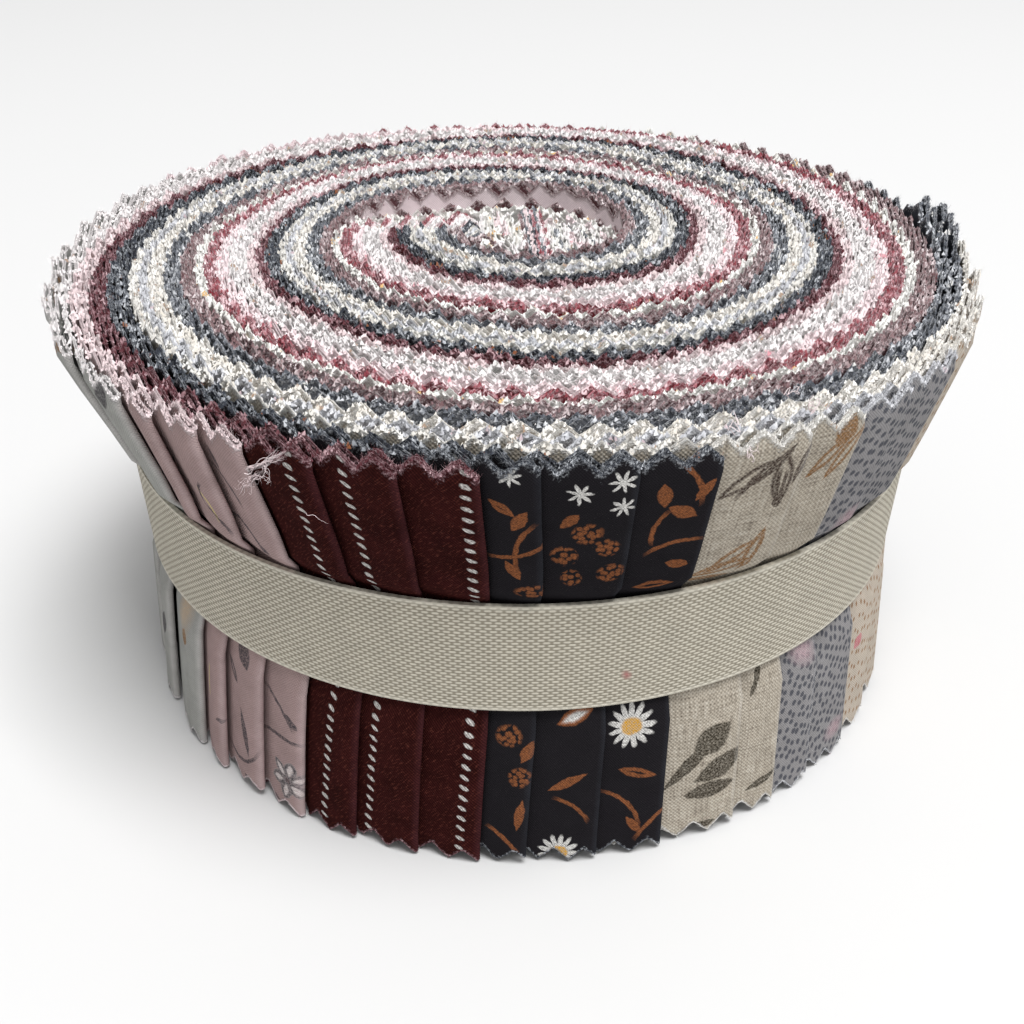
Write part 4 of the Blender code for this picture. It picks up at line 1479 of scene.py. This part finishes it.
def build_tape():
    """The woven tape, one band round the waist whose ends lap at the back."""
    radius = roll_radius(TAPE_BOTTOM) + TAPE_CLEARANCE
    half_lap = math.degrees(TAPE_LAP / 2 / radius)
    last = TAPE_LAP_AT + 360.0 + half_lap
    angles = np.arange(TAPE_LAP_AT - half_lap, last, TAPE_STEP)
    lap_starts = last - 2 * half_lap
    lift = smooth_step(lap_starts - TAPE_LAP_RISE, lap_starts, angles) * (TAPE_THICKNESS + TAPE_LAP_GAP)
    turned = np.radians(angles)[:, None]
    height = TAPE_BOTTOM + np.linspace(0.0, 1.0, TAPE_LEVELS) * TAPE_WIDTH
    ends = [TAPE_BOTTOM, TAPE_BOTTOM + TAPE_WIDTH]
    inside = np.interp(height, ends, roll_radius(ends)) + TAPE_CLEARANCE
    cloth = Cloth()
    rings = []
    for out in (TAPE_THICKNESS, 0.0):
        reach = inside + out + lift[:, None]
        level = np.broadcast_to(height, reach.shape)
        x = BODY_SHIFT_X + reach * np.cos(turned)
        points = np.stack((x, reach * np.sin(turned), level), axis=-1)
        prints = np.zeros(points.shape)
        prints[..., 0] = (turned - math.radians(TAPE_SPECK_AT)) * radius
        prints[..., 1] = level - TAPE_BOTTOM
        rings.append(cloth.add(points, prints, np.zeros(points.shape)))
    ring = np.concatenate((rings[0], rings[1][:, ::-1]), axis=1)
    join_columns(cloth, ring)
    close_end(cloth, ring[0], False)
    close_end(cloth, ring[-1], True)
    tape = cloth.make("tape_band", tape_material())
    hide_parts("tape")


# The floor: its size in metres, and its grey
FLOOR_SIZE = 4.0
FLOOR_COLOUR = (0.62, 0.62, 0.62)


def build_floor():
    bpy.ops.mesh.primitive_plane_add(size=FLOOR_SIZE, location=(0.0, 0.0, 0.0))
    floor = bpy.context.object
    floor.name = "floor"
    shader = Shader("floor_paint")
    shader.finish(FLOOR_COLOUR, *FLOOR_FINISH)
    floor.data.materials.append(shader.material)


# The studio: name, place and target in metres, size and power
AREA_LIGHTS = (
    ("key", (0.50, -0.66, 2.45), (0.0, 0.0, 0.03), 1.20, 83.0),
)
SKY_STRENGTH = 0.52


def build_lights():
    world = bpy.data.worlds.new("studio")
    bpy.context.scene.world = world
    world.use_nodes = True
    sky = world.node_tree.nodes["Background"]
    sky.inputs["Color"].default_value = (1.0, 1.0, 1.0, 1.0)
    sky.inputs["Strength"].default_value = SKY_STRENGTH
    for name, place, target, size, power in AREA_LIGHTS:
        data = bpy.data.lights.new(name, "AREA")
        data.size = size
        data.energy = power
        lamp = bpy.data.objects.new(name, data)
        bpy.context.scene.collection.objects.link(lamp)
        lamp.location = place
        lamp.rotation_euler = (Vector(target) - Vector(place)).to_track_quat("-Z", "Y").to_euler()
    bpy.context.scene.view_settings.view_transform = "Standard"


# The camera of the photograph, its focal length in pixels
CAMERA_AT = (0.02, -177.2, 127.0)
CAMERA_PITCH = 31.57
FOCAL_PIXELS = 1300.6
IMAGE_PIXELS = 1024
SENSOR = 36.0
NEAREST = 0.01


def build_camera():
    data = bpy.data.cameras.new("camera")
    data.sensor_width = SENSOR
    data.lens = FOCAL_PIXELS / IMAGE_PIXELS * SENSOR
    data.clip_start = NEAREST
    camera = bpy.data.objects.new("camera", data)
    bpy.context.scene.collection.objects.link(camera)
    camera.location = [value * MM for value in CAMERA_AT]
    camera.rotation_euler = (math.radians(90.0 - CAMERA_PITCH), 0.0, 0.0)
    bpy.context.scene.camera = camera


def main():
    groups = [cloth_group(index) for index in range(len(CLOTHS))]
    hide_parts("strip_roll")
    build_threads()
    build_tape()
    build_floor()
    build_lights()
    build_camera()


main()
